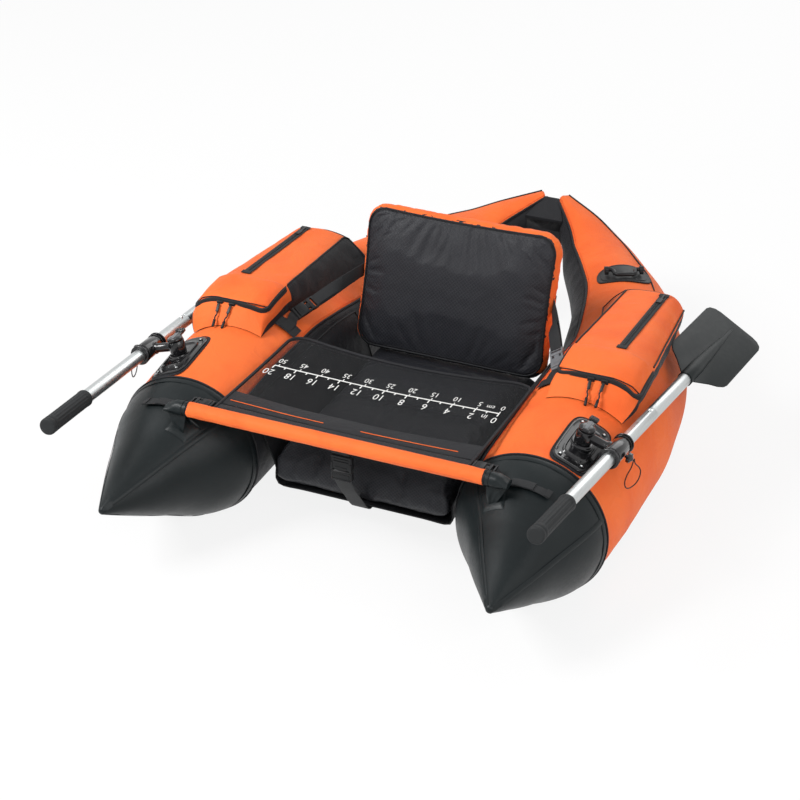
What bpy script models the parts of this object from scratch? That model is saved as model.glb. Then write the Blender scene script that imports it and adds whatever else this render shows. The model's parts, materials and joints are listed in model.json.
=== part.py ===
"""Inflatable float tube: two pontoons joined at the stern, a seat and backrest between them,
a stabiliser bar with a mesh apron across the bow, cargo pockets and two oars.

Metres, +Z up, the open bow towards -Y, the joined stern towards +Y. Left and right are the
rider's, who faces the bow, so left is +X. Every left piece is built at +X and its twin is
the same shape mirrored in X.
"""

import math

import bmesh
import bpy
from mathutils import Matrix, Vector

# Clearances and wall thicknesses
FIT_GAP = 0.0003
RUNNING_GAP = 0.0004
CUT_OVERRUN = 0.004
COVER_WALL = 0.003
BLADDER_WALL = 0.0015
BLADDER_GAP = 0.0005

# Pontoons
HULL_LENGTH = 1.491
NOSE_Y = -0.536
NOSE_HEIGHT = 0.155
PONTOON_SPREAD = 0.388
PONTOON_RADIUS = 0.166
STERN_LIFT = 0.266
SECTION_SIDES = 20
SEAM_ANGLE = 135.0

# Each station along a pontoon, nose to stern, in shares of the length, the spread, the radius
# and the stern lift
STATION_SHARES = (
    (0.000, 1.072, 0.036, 0.0),
    (0.105, 1.029, 0.545, 0.0),
    (0.209, 0.988, 0.952, 0.0),
    (0.326, 1.000, 0.992, 0.0),
    (0.445, 1.000, 1.000, 0.0),
    (0.534, 0.974, 0.962, 0.0),
    (0.622, 0.933, 0.904, 0.0),
    (0.708, 0.842, 0.807, 0.139),
    (0.789, 0.724, 0.711, 0.250),
    (0.852, 0.577, 0.620, 0.353),
    (0.914, 0.410, 0.530, 0.459),
    (0.955, 0.262, 0.385, 0.690),
    (0.990, 0.070, 0.160, 1.050),
)
CONE_BASE_STATION = 2
BELLY_STATION = 4
BLADDER_FRONT_STATION = 0.6
CONE_HOLLOW_STATION = 0.12

# Inflation valve in the bladder's stern neck
VALVE_LENGTH = 0.030
VALVE_BODY_RADIUS = 0.012
VALVE_CAP_LENGTH = 0.012

# Stabiliser bar and its end sleeves
BAR_Y = -0.328
BAR_Z = 0.310
BAR_HALF_LENGTH = 0.352
BAR_RADIUS = 0.0125
BAR_WALL = 0.0015
HEM_WALL = 0.0022
HEM_HALF_LENGTH = 0.322
END_SLEEVE_LENGTH = 0.050
END_SLEEVE_WALL = 0.003
END_TAB_LENGTH = 0.034
END_TAB_THICKNESS = 0.004
END_TAB_ANGLES = (100, 131)

# Apron
APRON_HALF_WIDTH = 0.279
APRON_FRONT_GAP_Y = 0.0006
APRON_REAR_Y = 0.068
APRON_REAR_BOW = 0.038
APRON_Z = 0.3005
APRON_SAG = 0.006
APRON_THICKNESS = 0.0025
APRON_EDGE_RADIUS = 0.035
BINDING_RADIUS = 0.004

# Seat cushion and its sling
SEAT_HALF_WIDTH = 0.196
SEAT_FRONT_Y = -0.205
SEAT_REAR_Y = 0.325
SEAT_BOTTOM_Z = 0.0875
SEAT_TOP_Z = 0.190
SEAT_CROWN = 0.016
SEAT_EDGE = 0.022
SEAT_CHANNELS = 2
SEAT_CHANNEL_DEPTH = 0.007
SLING_WALL = 0.003
SLING_FRONT_Y = -0.190
SLING_REAR_Y = 0.305
SLING_TOP_Z = 0.262
SLING_SHOULDER_CLEARANCE = 0.0015

# Backrest
BACK_PIVOT_Y = 0.279
BACK_RECLINE = 15.6
BACK_WIDTH = 0.444
BACK_HEIGHT = 0.322
BACK_THICKNESS = 0.050
BACK_CORNER = 0.045
BACK_CROWN = 0.012
BACK_SIDE_DRAW = 0.006

# Backrest straps
STRAP_WIDTH = 0.025
STRAP_THICKNESS = 0.002
BACK_STRAP_HEIGHT_SHARE = 0.47
BACK_BUCKLE_Y = 0.150
BACK_BUCKLE_ANGLE = 120.0
BACK_BUCKLE_LENGTH = 0.062
BACK_BUCKLE_WIDTH = 0.030
BACK_BUCKLE_THICKNESS = 0.011
BACK_ANCHOR_LENGTH = 0.060

# Bow strap from each nose cone to the apron's front corner
BOW_STRAP_Y = -0.297
BOW_STRAP_OUTER_ANGLE = 66.0
BOW_BUCKLE_LENGTH = 0.050
BOW_BUCKLE_WIDTH = 0.028
BOW_BUCKLE_THICKNESS = 0.010
BOW_BUCKLE_X = 0.308

# Crotch strap with its buckle, under the middle of the bar
CROTCH_STRAP_WIDTH = 0.038
CROTCH_BUCKLE_Y = -0.286
CROTCH_BUCKLE_TOP_Z = 0.258
CROTCH_BUCKLE_WIDTH = 0.046
CROTCH_BUCKLE_THICKNESS = 0.014
CROTCH_FEMALE_HEIGHT = 0.034
CROTCH_MALE_HEIGHT = 0.024
CROTCH_PRONG_LENGTH = 0.020
CROTCH_PRONG_WIDTH = 0.030
CROTCH_PRONG_THICKNESS = 0.006

# Cargo pockets
POCKET_FRONT_Y = -0.004
POCKET_FACE_Y = 0.040
POCKET_SEAM_Y = 0.136
POCKET_REAR_Y = 0.474
POCKET_INNER_ANGLE = 112.0
POCKET_OUTER_ANGLE = 52.0
POCKET_BED_GAP = 0.0009
POCKET_INNER_X = 0.334
POCKET_ZIP_X = 0.436
POCKET_OUTER_X = 0.508
POCKET_ZIP_Z = 0.384
POCKET_FALL = 0.0200
POCKET_INNER_DROP = 0.009
POCKET_OUTER_DROP = 0.034
POCKET_FACE_DROP = 0.012
POCKET_TOE_RISE = 0.006
POCKET_WALL = 0.004
POCKET_REAR_TAPER = 0.012
POCKET_OUTER_TAPER = 0.030
ZIP_LAND_WIDTH = 0.018
ZIP_SLIT_WIDTH = 0.008
FLAP_THICKNESS = 0.005
FLAP_LIP = 0.010

# Zip sliders
SLIDER_LENGTH = 0.022
SLIDER_WIDTH = 0.012
SLIDER_HEIGHT = 0.005
PULL_LENGTH = 0.034
PULL_WIDTH = 0.005
PULL_THICKNESS = 0.0025

# Oarlock
LOCK_Y = -0.136
LOCK_ANGLE = 67.0
LOCK_PLATE_ANGLES = (52.0, 81.0)
LOCK_PLATE_LENGTH = 0.150
LOCK_PLATE_WALL = 0.004
LOCK_PLATE_CORNER = 0.020
LOCK_TILT = 75.0
LOCK_BOSS_RADIUS = 0.021
LOCK_BOSS_HEIGHT = 0.006
LOCK_POST_RADIUS = 0.009
LOCK_POST_HEIGHT = 0.037
LOCK_HUB_RADIUS = 0.018
LOCK_HUB_HEIGHT = 0.028
LOCK_PIN_HEIGHT = 0.021
LOCK_ARM_RADIUS = 0.010
LOCK_REACH = 0.070
PIVOT_PIN_RADIUS = 0.005
PIVOT_PIN_LENGTH = 0.005

# Oar; the right one is drawn further towards the bow through its collar
OAR_DRAWN = {"left": 0.0, "right": 0.028}
OAR_BEHIND = (0.0527, 1.0, -0.0948)
SHAFT_RADIUS = 0.014
SHAFT_WALL = 0.0012
SLEEVE_TUBE_RADIUS = 0.0124
COLLAR_RADIUS = 0.0195
COLLAR_LENGTH = 0.084
LUG_RADIUS = 0.013
GRIP_FRONT = -0.398
GRIP_REAR = -0.250
GRIP_RADIUS = 0.0172
GRIP_CAP = 0.004
FRONT_TUBE_REAR = 0.200
REAR_TUBE_INSERT = 0.080
SNAP_AHEAD = 0.016
SNAP_RADIUS = 0.0032
SNAP_PROUD = 0.004
BLADE_NECK = 0.400
BLADE_FULL = 0.500
BLADE_END = 0.750
BLADE_NECK_RADIUS = 0.0165
BLADE_HALF_WIDTH = 0.075
BLADE_THICKNESS = 0.007
BLADE_CORNER = 0.030
BLADE_TILT = -29.0
BLADE_SOCKET_DEPTH = 0.070
KNOB_RADIUS = 0.011
KNOB_LENGTH = 0.014
KNOB_STEM_RADIUS = 0.004
KNOB_NUB = 0.0025

# Lanyard loop on each clamp knob: its outline across and down, in its own diameters
LANYARD_DIAMETER = 0.0024
LANYARD_PLANE = (0.3, 0.95, 0)
LANYARD_SHAPE = (
    (-0.6, -0.8),
    (-1.1, 2.4),
    (-3.4, 6.2),
    (-8.0, 10.0),
    (-11.0, 15.5),
    (-9.4, 21.5),
    (-4.0, 24.8),
    (4.0, 24.8),
    (9.4, 21.5),
    (11.0, 15.5),
    (8.0, 10.0),
    (3.6, 5.6),
    (1.5, 2.4),
    (0.9, -0.8),
)

# Carry handle on each pontoon's stern quarter: rows of its patch as (station, share of width)
STATIONS_TO_HANDLE = 8.0
HANDLE_PATCH_ROWS = ((7.5, 0.42), (7.62, 0.85), (8.0, 1.0), (8.35, 0.85), (8.5, 0.42))
HANDLE_PATCH_ANGLES = (54, 126)
HANDLE_PATCH_WALL = 0.0025
HANDLE_EAR_RADIUS = 0.007
HANDLE_EAR_LENGTH = 0.010
HANDLE_SPAN = 0.070
HANDLE_PIN_RADIUS = 0.003
HANDLE_PIN_LENGTH = 0.006
HANDLE_BAR_RADIUS = 0.005
HANDLE_RISE = 0.026

# Gusset between the two pontoon ends, in stations ahead of the stern
STERN_GUSSET_SHARES = (0.45, 0.24, 0.03)
STERN_GUSSET_ANGLES = (126, 250)
STERN_GUSSET_GAP = 0.0012

ROUND_SIDES = 16
SMALL_SIDES = 10
UP = Vector((0, 0, 1))
ZERO = Vector((0, 0, 0))
SIDES = (("left", 1), ("right", -1))


def material(name, colour, roughness, metallic=0.0):
    made = bpy.data.materials.new(name)
    made.use_nodes = True
    shader = made.node_tree.nodes["Principled BSDF"]
    shader.inputs["Base Color"].default_value = (*colour, 1)
    shader.inputs["Roughness"].default_value = roughness
    shader.inputs["Metallic"].default_value = metallic
    made.diffuse_color = (*colour, 1)
    return made


# Mesh helpers


def loft(rings, closed_path=False):
    """One closed body through rings of equally many points, its two ends capped."""
    bm = bmesh.new()
    rows = [[bm.verts.new(p) for p in ring] for ring in rings]
    count = len(rows[0])
    spans = list(zip(rows, rows[1:]))
    if closed_path:
        spans.append((rows[-1], rows[0]))
    for first, second in spans:
        for i in range(count):
            j = (i + 1) % count
            bm.faces.new((first[i], first[j], second[j], second[i]))
    if not closed_path:
        bm.faces.new(rows[0])
        bm.faces.new(rows[-1])
    return bm


def sheet(outer, inner):
    """A closed body between two grids of points, row by row."""
    bm = bmesh.new()
    top = [[bm.verts.new(p) for p in row] for row in outer]
    low = [[bm.verts.new(p) for p in row] for row in inner]
    rows, count = len(top), len(top[0])
    for i in range(rows - 1):
        for j in range(count - 1):
            bm.faces.new((top[i][j], top[i][j + 1], top[i + 1][j + 1], top[i + 1][j]))
            bm.faces.new((low[i][j], low[i + 1][j], low[i + 1][j + 1], low[i][j + 1]))
        for j in (0, count - 1):
            bm.faces.new((top[i][j], top[i + 1][j], low[i + 1][j], low[i][j]))
    for i in (0, rows - 1):
        for j in range(count - 1):
            bm.faces.new((top[i][j], top[i][j + 1], low[i][j + 1], low[i][j]))
    return bm


def frame_along(direction, hint=UP):
    """Two unit vectors square to a direction, the first one level where it can be."""
    forward = direction.normalized()
    across = forward.cross(hint).normalized()
    return across, across.cross(forward).normalized()


def circle(centre, direction, radius, sides, hint=UP):
    across, over = frame_along(direction, hint)
    turn = 2 * math.pi / sides
    return [
        centre + radius * (math.cos(i * turn) * across + math.sin(i * turn) * over)
        for i in range(sides)
    ]


def turned(start, direction, profile, sides=ROUND_SIDES):
    """A solid of revolution from (distance along, radius) pairs."""
    forward = direction.normalized()
    return loft([circle(start + forward * d, forward, r, sides) for d, r in profile])


def pipe(start, end, outer, inner, sides=ROUND_SIDES):
    along = end - start
    path = ((start, outer), (end, outer), (end, inner), (start, inner))
    return loft([circle(p, along, r, sides) for p, r in path], closed_path=True)


def rounded_rectangle(half_x, half_y, radius, steps=3):
    points = []
    for quarter, (sx, sy) in enumerate(((1, 1), (-1, 1), (-1, -1), (1, -1))):
        for i in range(steps + 1):
            a = math.radians(90 * (quarter + i / steps))
            x = sx * (half_x - radius) + radius * math.cos(a)
            y = sy * (half_y - radius) + radius * math.sin(a)
            points.append((x, y))
    return points


def ribbon(points, across, thickness):
    """A flat strap through points; across gives half its width at each one."""
    rings = []
    for i, point in enumerate(points):
        ahead = points[min(i + 1, len(points) - 1)] - points[max(i - 1, 0)]
        lift = ahead.cross(across[i]).normalized() * thickness / 2
        side = across[i]
        rings.append(
            [point + side + lift, point - side + lift, point - side - lift, point + side - lift]
        )
    return loft(rings)


def box_body(centre, axes, halves, bevel):
    """A box with bevelled edges on three square axes."""
    bm = bmesh.new()
    bmesh.ops.create_cube(bm, size=2)
    place = Matrix([[*(axes[i][k] * halves[i] for i in range(3)), centre[k]] for k in range(3)])
    place.resize_4x4()
    bmesh.ops.transform(bm, matrix=place, verts=bm.verts)
    bmesh.ops.bevel(bm, geom=bm.edges, offset=bevel, segments=1, affect="EDGES")
    return bm


def mirrored(bm, side):
    """Four-sided faces are split first, so that both twins fold along the same diagonals."""
    bmesh.ops.triangulate(bm, faces=[face for face in bm.faces if len(face.verts) == 4])
    if side < 0:
        bmesh.ops.transform(bm, matrix=Matrix.Scale(-1, 4, (1, 0, 0)), verts=bm.verts)
    return bm


def at_side(point, side):
    return Vector((point.x * side, point.y, point.z))


# Scene objects


def clear_scene():
    for obj in list(bpy.data.objects):
        bpy.data.objects.remove(obj)


def pivot(name, point, parent=None):
    empty = bpy.data.objects.new(name, None)
    empty.empty_display_size = PONTOON_RADIUS / 4
    bpy.context.scene.collection.objects.link(empty)
    empty.parent = parent
    empty.location = point - (place_of(parent) if parent else ZERO)
    return empty


def place_of(empty):
    total = Vector(empty.location)
    while empty.parent:
        empty = empty.parent
        total += empty.location
    return total


def add(name, bm, surface, parent, smooth_angle=40.0):
    """Makes the named object of a mesh built in place, with its origin on its parent's."""
    bmesh.ops.recalc_face_normals(bm, faces=bm.faces)
    bmesh.ops.translate(bm, vec=-place_of(parent), verts=bm.verts)
    mesh = bpy.data.meshes.new(name)
    bm.to_mesh(mesh)
    bm.free()
    mesh.shade_smooth()
    mesh.set_sharp_from_angle(angle=math.radians(smooth_angle))
    mesh.materials.append(surface)
    obj = bpy.data.objects.new(name, mesh)
    bpy.context.scene.collection.objects.link(obj)
    obj.parent = parent
    return obj


def boolean(obj, other_mesh, name, parent, operation):
    other = add(name, other_mesh, obj.data.materials[0], parent)
    other.hide_render = True
    other.display_type = "WIRE"
    modifier = obj.modifiers.new(name, "BOOLEAN")
    modifier.operation = operation
    modifier.object = other


# Pontoon surface


def stations():
    """Centre, level outward direction and radius of each section of the left pontoon."""
    half_facet = math.pi / SECTION_SIDES
    rows = []
    for length, spread, radius, lift in STATION_SHARES:
        r = radius * PONTOON_RADIUS
        z = r * math.cos(half_facet) + lift * STERN_LIFT
        rows.append([Vector((spread * PONTOON_SPREAD, NOSE_Y + length * HULL_LENGTH, z)), r])
    rows[0][0].z = NOSE_HEIGHT + rows[0][1]
    rows[1][0].z = (rows[0][0].z + rows[CONE_BASE_STATION][0].z) / 2
    made = []
    for i, (centre, r) in enumerate(rows):
        along = rows[min(i + 1, len(rows) - 1)][0] - rows[max(i - 1, CONE_BASE_STATION)][0]
        if i <= CONE_BASE_STATION:
            along = Vector((0, 1, 0))
        made.append((centre, Vector((along.y, -along.x, 0)).normalized(), r))
    return made


STATIONS = stations()
STERN = len(STATIONS) - 1


def ring_point(index, angle, lift=0.0):
    """Angles are in degrees: 0 outboard, 90 on top, 180 inboard."""
    centre, outward, radius = STATIONS[index]
    a = math.radians(angle)
    return centre + (radius + lift) * (math.cos(a) * outward + math.sin(a) * UP)


def ring_between(position, angle, lift=0.0):
    low = min(int(position), STERN - 1)
    first, second = ring_point(low, angle, lift), ring_point(low + 1, angle, lift)
    return first.lerp(second, position - low)


def skin(y, angle, lift=0.0):
    """The point of the pontoon's surface at this y and angle, raised by lift."""
    for i in range(STERN):
        first, second = ring_point(i, angle, lift), ring_point(i + 1, angle, lift)
        if y <= second.y or i == STERN - 1:
            return first.lerp(second, (y - first.y) / (second.y - first.y))


def station_ys(low, high):
    """The y of each station between these two, where the surface bends."""
    return [centre.y for centre, _, _ in STATIONS if low < centre.y < high]


def section_angles(start, end):
    """The angles from start to end, with each corner of the section between them."""
    step = 360 / SECTION_SIDES
    first = math.floor(start / step) * step + step / 2
    between = [first + i * step for i in range(-1, SECTION_SIDES + 1)]
    return [start] + [a for a in between if start + 1 < a < end - 1] + [end]


# Hull


def pontoon(name, side, hull):
    step = 360 / SECTION_SIDES
    half = SECTION_SIDES // 2
    rows = range(CONE_BASE_STATION, STERN + 1)

    def arc(index, first_angle, lift, trim):
        offset = math.degrees(trim / (STATIONS[index][2] + lift))
        ends = (first_angle + offset, first_angle + half * step - offset)
        angles = [ends[0]] + [first_angle + k * step for k in range(1, half)] + [ends[1]]
        return [ring_point(index, a, lift) for a in angles]

    def half_cover(first_angle, trim):
        outer = [arc(i, first_angle, 0, trim) for i in rows]
        inner = [arc(i, first_angle, -COVER_WALL, trim) for i in rows]
        return mirrored(sheet(outer, inner), side)

    add(f"pontoon_top_cover_{name}", half_cover(SEAM_ANGLE - 180, 0), ORANGE, hull)
    add(f"pontoon_bottom_cover_{name}", half_cover(SEAM_ANGLE, FIT_GAP), BLACK, hull)

    def full(position, lift, sides=SECTION_SIDES):
        turn = 360 / sides
        return [ring_between(position, SEAM_ANGLE + k * turn, lift) for k in range(sides)]

    last_span = STATIONS[CONE_BASE_STATION][0].y - STATIONS[CONE_BASE_STATION - 1][0].y
    base = CONE_BASE_STATION - FIT_GAP / last_span
    cone = [full(t, 0) for t in (0, 1, base)]
    cone += [full(t, -COVER_WALL) for t in (base, 1, CONE_HOLLOW_STATION)]
    add(f"nose_cone_{name}", mirrored(loft(cone), side), GREY_PVC, hull)

    outside = -COVER_WALL - BLADDER_GAP
    inside = outside - BLADDER_WALL
    bladder_sides = SECTION_SIDES // 2
    front = BLADDER_FRONT_STATION
    back = STERN - BLADDER_GAP / (STATIONS[STERN][0] - STATIONS[STERN - 1][0]).length
    places = [front, *range(CONE_BASE_STATION - 1, STERN), back]
    shell = [full(p, outside, bladder_sides) for p in places]
    hollow = [full(p, inside, bladder_sides) for p in reversed(places[1:])]
    hollow.append(full(front + CONE_HOLLOW_STATION / 2, inside, bladder_sides))
    add(f"air_bladder_{name}", mirrored(loft(shell + hollow), side), VINYL, hull)

    neck = (STATIONS[STERN][2] + inside) * math.cos(math.pi / bladder_sides) - FIT_GAP
    outward = STATIONS[STERN][1]
    rearward = Vector((-outward.y, outward.x, 0))
    centre = STATIONS[STERN][0] - rearward * (VALVE_LENGTH / 2)
    valve = turned(
        centre,
        rearward,
        (
            (0, VALVE_BODY_RADIUS),
            (VALVE_LENGTH / 2 - BLADDER_WALL, VALVE_BODY_RADIUS),
            (VALVE_LENGTH / 2 - BLADDER_WALL, neck),
            (VALVE_LENGTH / 2, neck),
            (VALVE_LENGTH / 2, VALVE_BODY_RADIUS),
            (VALVE_LENGTH / 2 + VALVE_CAP_LENGTH, VALVE_BODY_RADIUS),
        ),
    )
    add(f"air_valve_{name}", mirrored(valve, side), BLACK_PLASTIC, hull)


def stern_gusset(hull):
    """The sewn filler that joins the two pontoons where their inner flanks meet."""
    rings = []
    for share in STERN_GUSSET_SHARES:
        angles = section_angles(*STERN_GUSSET_ANGLES)
        half = [ring_between(STERN - share, a, STERN_GUSSET_GAP) for a in angles]
        rings.append(half + [Vector((-p.x, p.y, p.z)) for p in reversed(half)])
    add("stern_gusset", loft(rings), BLACK, hull)


# Seat


def seat(hull):
    columns, rows = 10, 14
    front, rear = SEAT_FRONT_Y, SEAT_REAR_Y
    channel_at = [(k + 1) / (SEAT_CHANNELS + 1) for k in range(SEAT_CHANNELS)]

    def height(u, v):
        """Crown across the width and along the part ahead of the backrest."""
        crown = (1 - abs(u) ** 3) * math.sin(math.pi * min(1.0, v / 0.78)) if v < 0.78 else 0.0
        groove = sum(math.exp(-(((v / 0.78 - c) / 0.045) ** 2)) for c in channel_at)
        return SEAT_TOP_Z + SEAT_CROWN * crown - SEAT_CHANNEL_DEPTH * groove * (1 - u * u)

    def half_width(v):
        return SEAT_HALF_WIDTH * (1 - 0.05 * math.sin(math.pi * v))

    top, low = [], []
    for i in range(rows + 1):
        v = i / rows
        y = front + (rear - front) * v
        edge_v = max(0.0, 1 - min(v, 1 - v) / 0.06)
        upper, under = [], []
        for j in range(columns + 1):
            u = -1 + 2 * j / columns
            edge = max(edge_v, max(0.0, 1 - (1 - abs(u)) / 0.11))
            drop = SEAT_EDGE * edge**2
            x = half_width(v) * u
            upper.append(Vector((x, y, height(u, v) - drop)))
            under.append(Vector((x, y, SEAT_BOTTOM_Z + drop * 0.8)))
        top.append(upper)
        low.append(under)
    add("seat_cushion", sheet(top, low), BLACK_WEAVE, hull)


def sling(hull):
    """The seat's fabric hammock: down one pontoon's inner side, under the cushion and up."""
    floor_z = SEAT_BOTTOM_Z - RUNNING_GAP - SLING_WALL / 2
    seat_side = SEAT_HALF_WIDTH + RUNNING_GAP + SLING_WALL
    rows = []
    clear = SLING_SHOULDER_CLEARANCE + SLING_WALL / 2
    for y in (SLING_FRONT_Y, *station_ys(SLING_FRONT_Y, SLING_REAR_Y), SLING_REAR_Y):
        shoulder = [skin(y, a, clear) for a in (142.0, 153.0, 171.0, 189.0)]
        side_x = min(seat_side + SLING_WALL, min(p.x for p in shoulder))
        path = [
            Vector((shoulder[0].x, y, min(shoulder[0].z, SLING_TOP_Z))),
            Vector((shoulder[1].x, y, shoulder[1].z)),
            Vector((shoulder[2].x, y, shoulder[2].z)),
            Vector((min(side_x, shoulder[3].x), y, shoulder[3].z)),
            Vector((side_x, y, floor_z + SEAT_EDGE)),
            Vector((side_x - SEAT_EDGE / 2, y, floor_z)),
        ]
        half = path + [Vector((0, y, floor_z))]
        rows.append(half + [Vector((-p.x, p.y, p.z)) for p in reversed(path)])

    def offset(points, amount):
        moved = []
        for i, p in enumerate(points):
            ahead = points[min(i + 1, len(points) - 1)] - points[max(i - 1, 0)]
            moved.append(p + Vector((ahead.z, 0, -ahead.x)).normalized() * amount)
        return moved

    inner = [offset(row, -SLING_WALL / 2) for row in rows]
    outer = [offset(row, SLING_WALL / 2) for row in rows]
    add("seat_sling", sheet(inner, outer), BLACK, hull)


def back_axes():
    lean = math.radians(BACK_RECLINE)
    up = Vector((0, math.sin(lean), math.cos(lean)))
    rearward = Vector((0, math.cos(lean), -math.sin(lean)))
    return up, rearward


def back_pivot_point():
    return Vector((0, BACK_PIVOT_Y, SEAT_TOP_Z + BACK_THICKNESS / 2 + RUNNING_GAP))


def backrest(back):
    """A boxed cushion: crowned face, sides drawn in between the corners, round lower edge."""
    up, rearward = back_axes()
    base = back_pivot_point() - up * (BACK_THICKNESS / 2)
    half_w, half_h = BACK_WIDTH / 2, BACK_HEIGHT / 2
    outline = rounded_rectangle(half_w, half_h, BACK_CORNER, steps=4)
    dense = []
    for i, (x, h) in enumerate(outline):
        nx, nh = outline[(i + 1) % len(outline)]
        steps = 4 if math.hypot(nx - x, nh - h) > BACK_CORNER else 1
        dense += [(x + (nx - x) * k / steps, h + (nh - h) * k / steps) for k in range(steps)]

    mid = BACK_THICKNESS / 2

    def ring(shrink, depth, draw):
        """The lower edge is drawn in to a half circle about the fold's axis."""
        round_off = mid * (1 - math.sqrt(1 - min(1.0, abs(depth) / mid) ** 2))
        points = []
        for x, h in dense:
            pull_h = draw * (1 - (x / half_w) ** 2) if h > half_h - BACK_CORNER else 0
            pull_x = draw * (1 - (h / half_h) ** 2) if abs(x) > half_w - BACK_CORNER else 0
            drawn = max(round_off, shrink) if h < 0 else shrink
            px = x * (1 - shrink / half_w) - math.copysign(pull_x, x)
            ph = h * (1 - drawn / half_h) - pull_h
            points.append(base + Vector((px, 0, 0)) + up * (half_h + ph) + rearward * depth)
        return points

    profile = (
        (0.60, -mid - BACK_CROWN, 0.0),
        (0.30, -mid - BACK_CROWN * 0.75, 0.3),
        (0.16, -mid - BACK_CROWN * 0.25, 0.7),
        (0.035, -mid * 0.87, 1.0),
        (0.0, -mid * 0.62, 1.0),
        (0.0, -mid * 0.27, 1.0),
        (0.0, mid * 0.27, 1.0),
        (0.0, mid * 0.62, 1.0),
        (0.035, mid * 0.87, 1.0),
        (0.12, mid - FIT_GAP, 0.7),
    )
    rings = [ring(share * half_h, depth, draw * BACK_SIDE_DRAW) for share, depth, draw in profile]
    add("backrest_cushion", loft(rings), BLACK_WEAVE, back)


# Bow: bar, sleeves, apron and straps


def bar(hull):
    ends = Vector((BAR_HALF_LENGTH, 0, 0))
    centre = Vector((0, BAR_Y, BAR_Z))
    tube = pipe(centre - ends, centre + ends, BAR_RADIUS, BAR_RADIUS - BAR_WALL)
    add("stabiliser_bar", tube, ALUMINIUM, hull)


def bar_hem(apron_pivot):
    centre = Vector((0, BAR_Y, BAR_Z))
    ends = Vector((HEM_HALF_LENGTH, 0, 0))
    inner = BAR_RADIUS + RUNNING_GAP
    tube = pipe(centre - ends, centre + ends, inner + HEM_WALL, inner)
    add("apron_hem", tube, ORANGE, apron_pivot)


def apron(apron_pivot):
    """The mesh apron with its bound edge, slightly sagged, its rear edge curved forward."""
    columns, rows = 12, 8
    hem = BAR_RADIUS + RUNNING_GAP + HEM_WALL
    front = BAR_Y + hem + APRON_FRONT_GAP_Y

    def place(i, j):
        u = -1 + 2 * j / columns
        v = i / rows
        rear = APRON_REAR_Y - APRON_REAR_BOW * (1 - u * u)
        corner = max(0.0, abs(u) - 0.8) / 0.2
        rear -= APRON_EDGE_RADIUS * (1 - math.sqrt(1 - corner**2)) if v == 1 else 0
        y = front + (rear - front) * v
        z = APRON_Z + (BAR_Z - APRON_Z) * (1 - v) ** 2
        z -= APRON_SAG * math.sin(math.pi * v) * (1 - u * u)
        return Vector((APRON_HALF_WIDTH * u, y, z))

    grid = [[place(i, j) for j in range(columns + 1)] for i in range(rows + 1)]

    def thick(i, j):
        edge = i == rows or j in (0, columns)
        return BINDING_RADIUS if edge else APRON_THICKNESS / 2

    top = [
        [p + UP * thick(i, j) for j, p in enumerate(row)] for i, row in enumerate(grid)
    ]
    low = [
        [p - UP * thick(i, j) for j, p in enumerate(row)] for i, row in enumerate(grid)
    ]
    add("mesh_apron", sheet(top, low), MESH_FABRIC, apron_pivot)


def end_sleeve(name, side, hull):
    """A sleeve round the bar's end on a tab that stands on the nose cone."""
    inner = BAR_RADIUS + FIT_GAP
    outer = inner + END_SLEEVE_WALL
    start = Vector((HEM_HALF_LENGTH + RUNNING_GAP, BAR_Y, BAR_Z))
    end = start + Vector((END_SLEEVE_LENGTH, 0, 0))
    stop = Vector((BAR_HALF_LENGTH + FIT_GAP, BAR_Y, BAR_Z))
    profile = (
        (start, inner),
        (start, outer),
        (end, outer * 0.85),
    )
    rings = [circle(p, Vector((1, 0, 0)), r, ROUND_SIDES) for p, r in profile]
    rings += [circle(stop, Vector((1, 0, 0)), inner, ROUND_SIDES)]
    bm = bmesh.new()
    rows = [[bm.verts.new(p) for p in ring] for ring in rings]
    for a, b in ((0, 1), (1, 2), (3, 0)):
        for i in range(ROUND_SIDES):
            j = (i + 1) % ROUND_SIDES
            bm.faces.new((rows[a][i], rows[a][j], rows[b][j], rows[b][i]))
    bm.faces.new(rows[2])
    bm.faces.new(rows[3])
    sleeve = add(f"bar_end_sleeve_{name}", mirrored(bm, side), GREY_PVC, hull)

    angles = section_angles(*END_TAB_ANGLES)
    wall = END_TAB_THICKNESS
    lift = FIT_GAP * 2
    lengths = (BAR_Y - END_TAB_LENGTH / 2, BAR_Y + END_TAB_LENGTH / 2)
    low = [[skin(y, a, lift) for a in angles] for y in lengths]
    high = [[skin(y, a, lift + wall) for a in angles] for y in lengths]
    patch = mirrored(sheet(high, low), side)
    boolean(sleeve, tab_web(start, end, inner, side), f"bar_end_web_{name}", hull, "UNION")
    boolean(sleeve, patch, f"bar_end_patch_{name}", hull, "UNION")


def tab_web(start, end, inner, side):
    """The upright web between the sleeve and its patch on the cone."""
    low, high = END_TAB_ANGLES
    inset = (high - low) * 0.1
    angles = section_angles(low + inset, high - inset)
    count = len(angles)
    top_z = BAR_Z - inner - END_SLEEVE_WALL / 2

    def ring(half, blend):
        faces = []
        for y in (BAR_Y - half, BAR_Y + half):
            row = []
            for i, a in enumerate(angles):
                foot = skin(y, a, FIT_GAP * 2 + END_TAB_THICKNESS / 2)
                head = end.lerp(start, i / (count - 1))
                head.y, head.z = y, top_z
                row.append(foot.lerp(head, blend))
            faces.append(row)
        return faces[0] + faces[1][::-1]

    half = END_TAB_LENGTH / 2 - END_TAB_THICKNESS
    rings = (ring(half, 0), ring(END_TAB_THICKNESS, 0.3), ring(END_TAB_THICKNESS / 2, 1))
    return mirrored(loft(rings), side)


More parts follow.
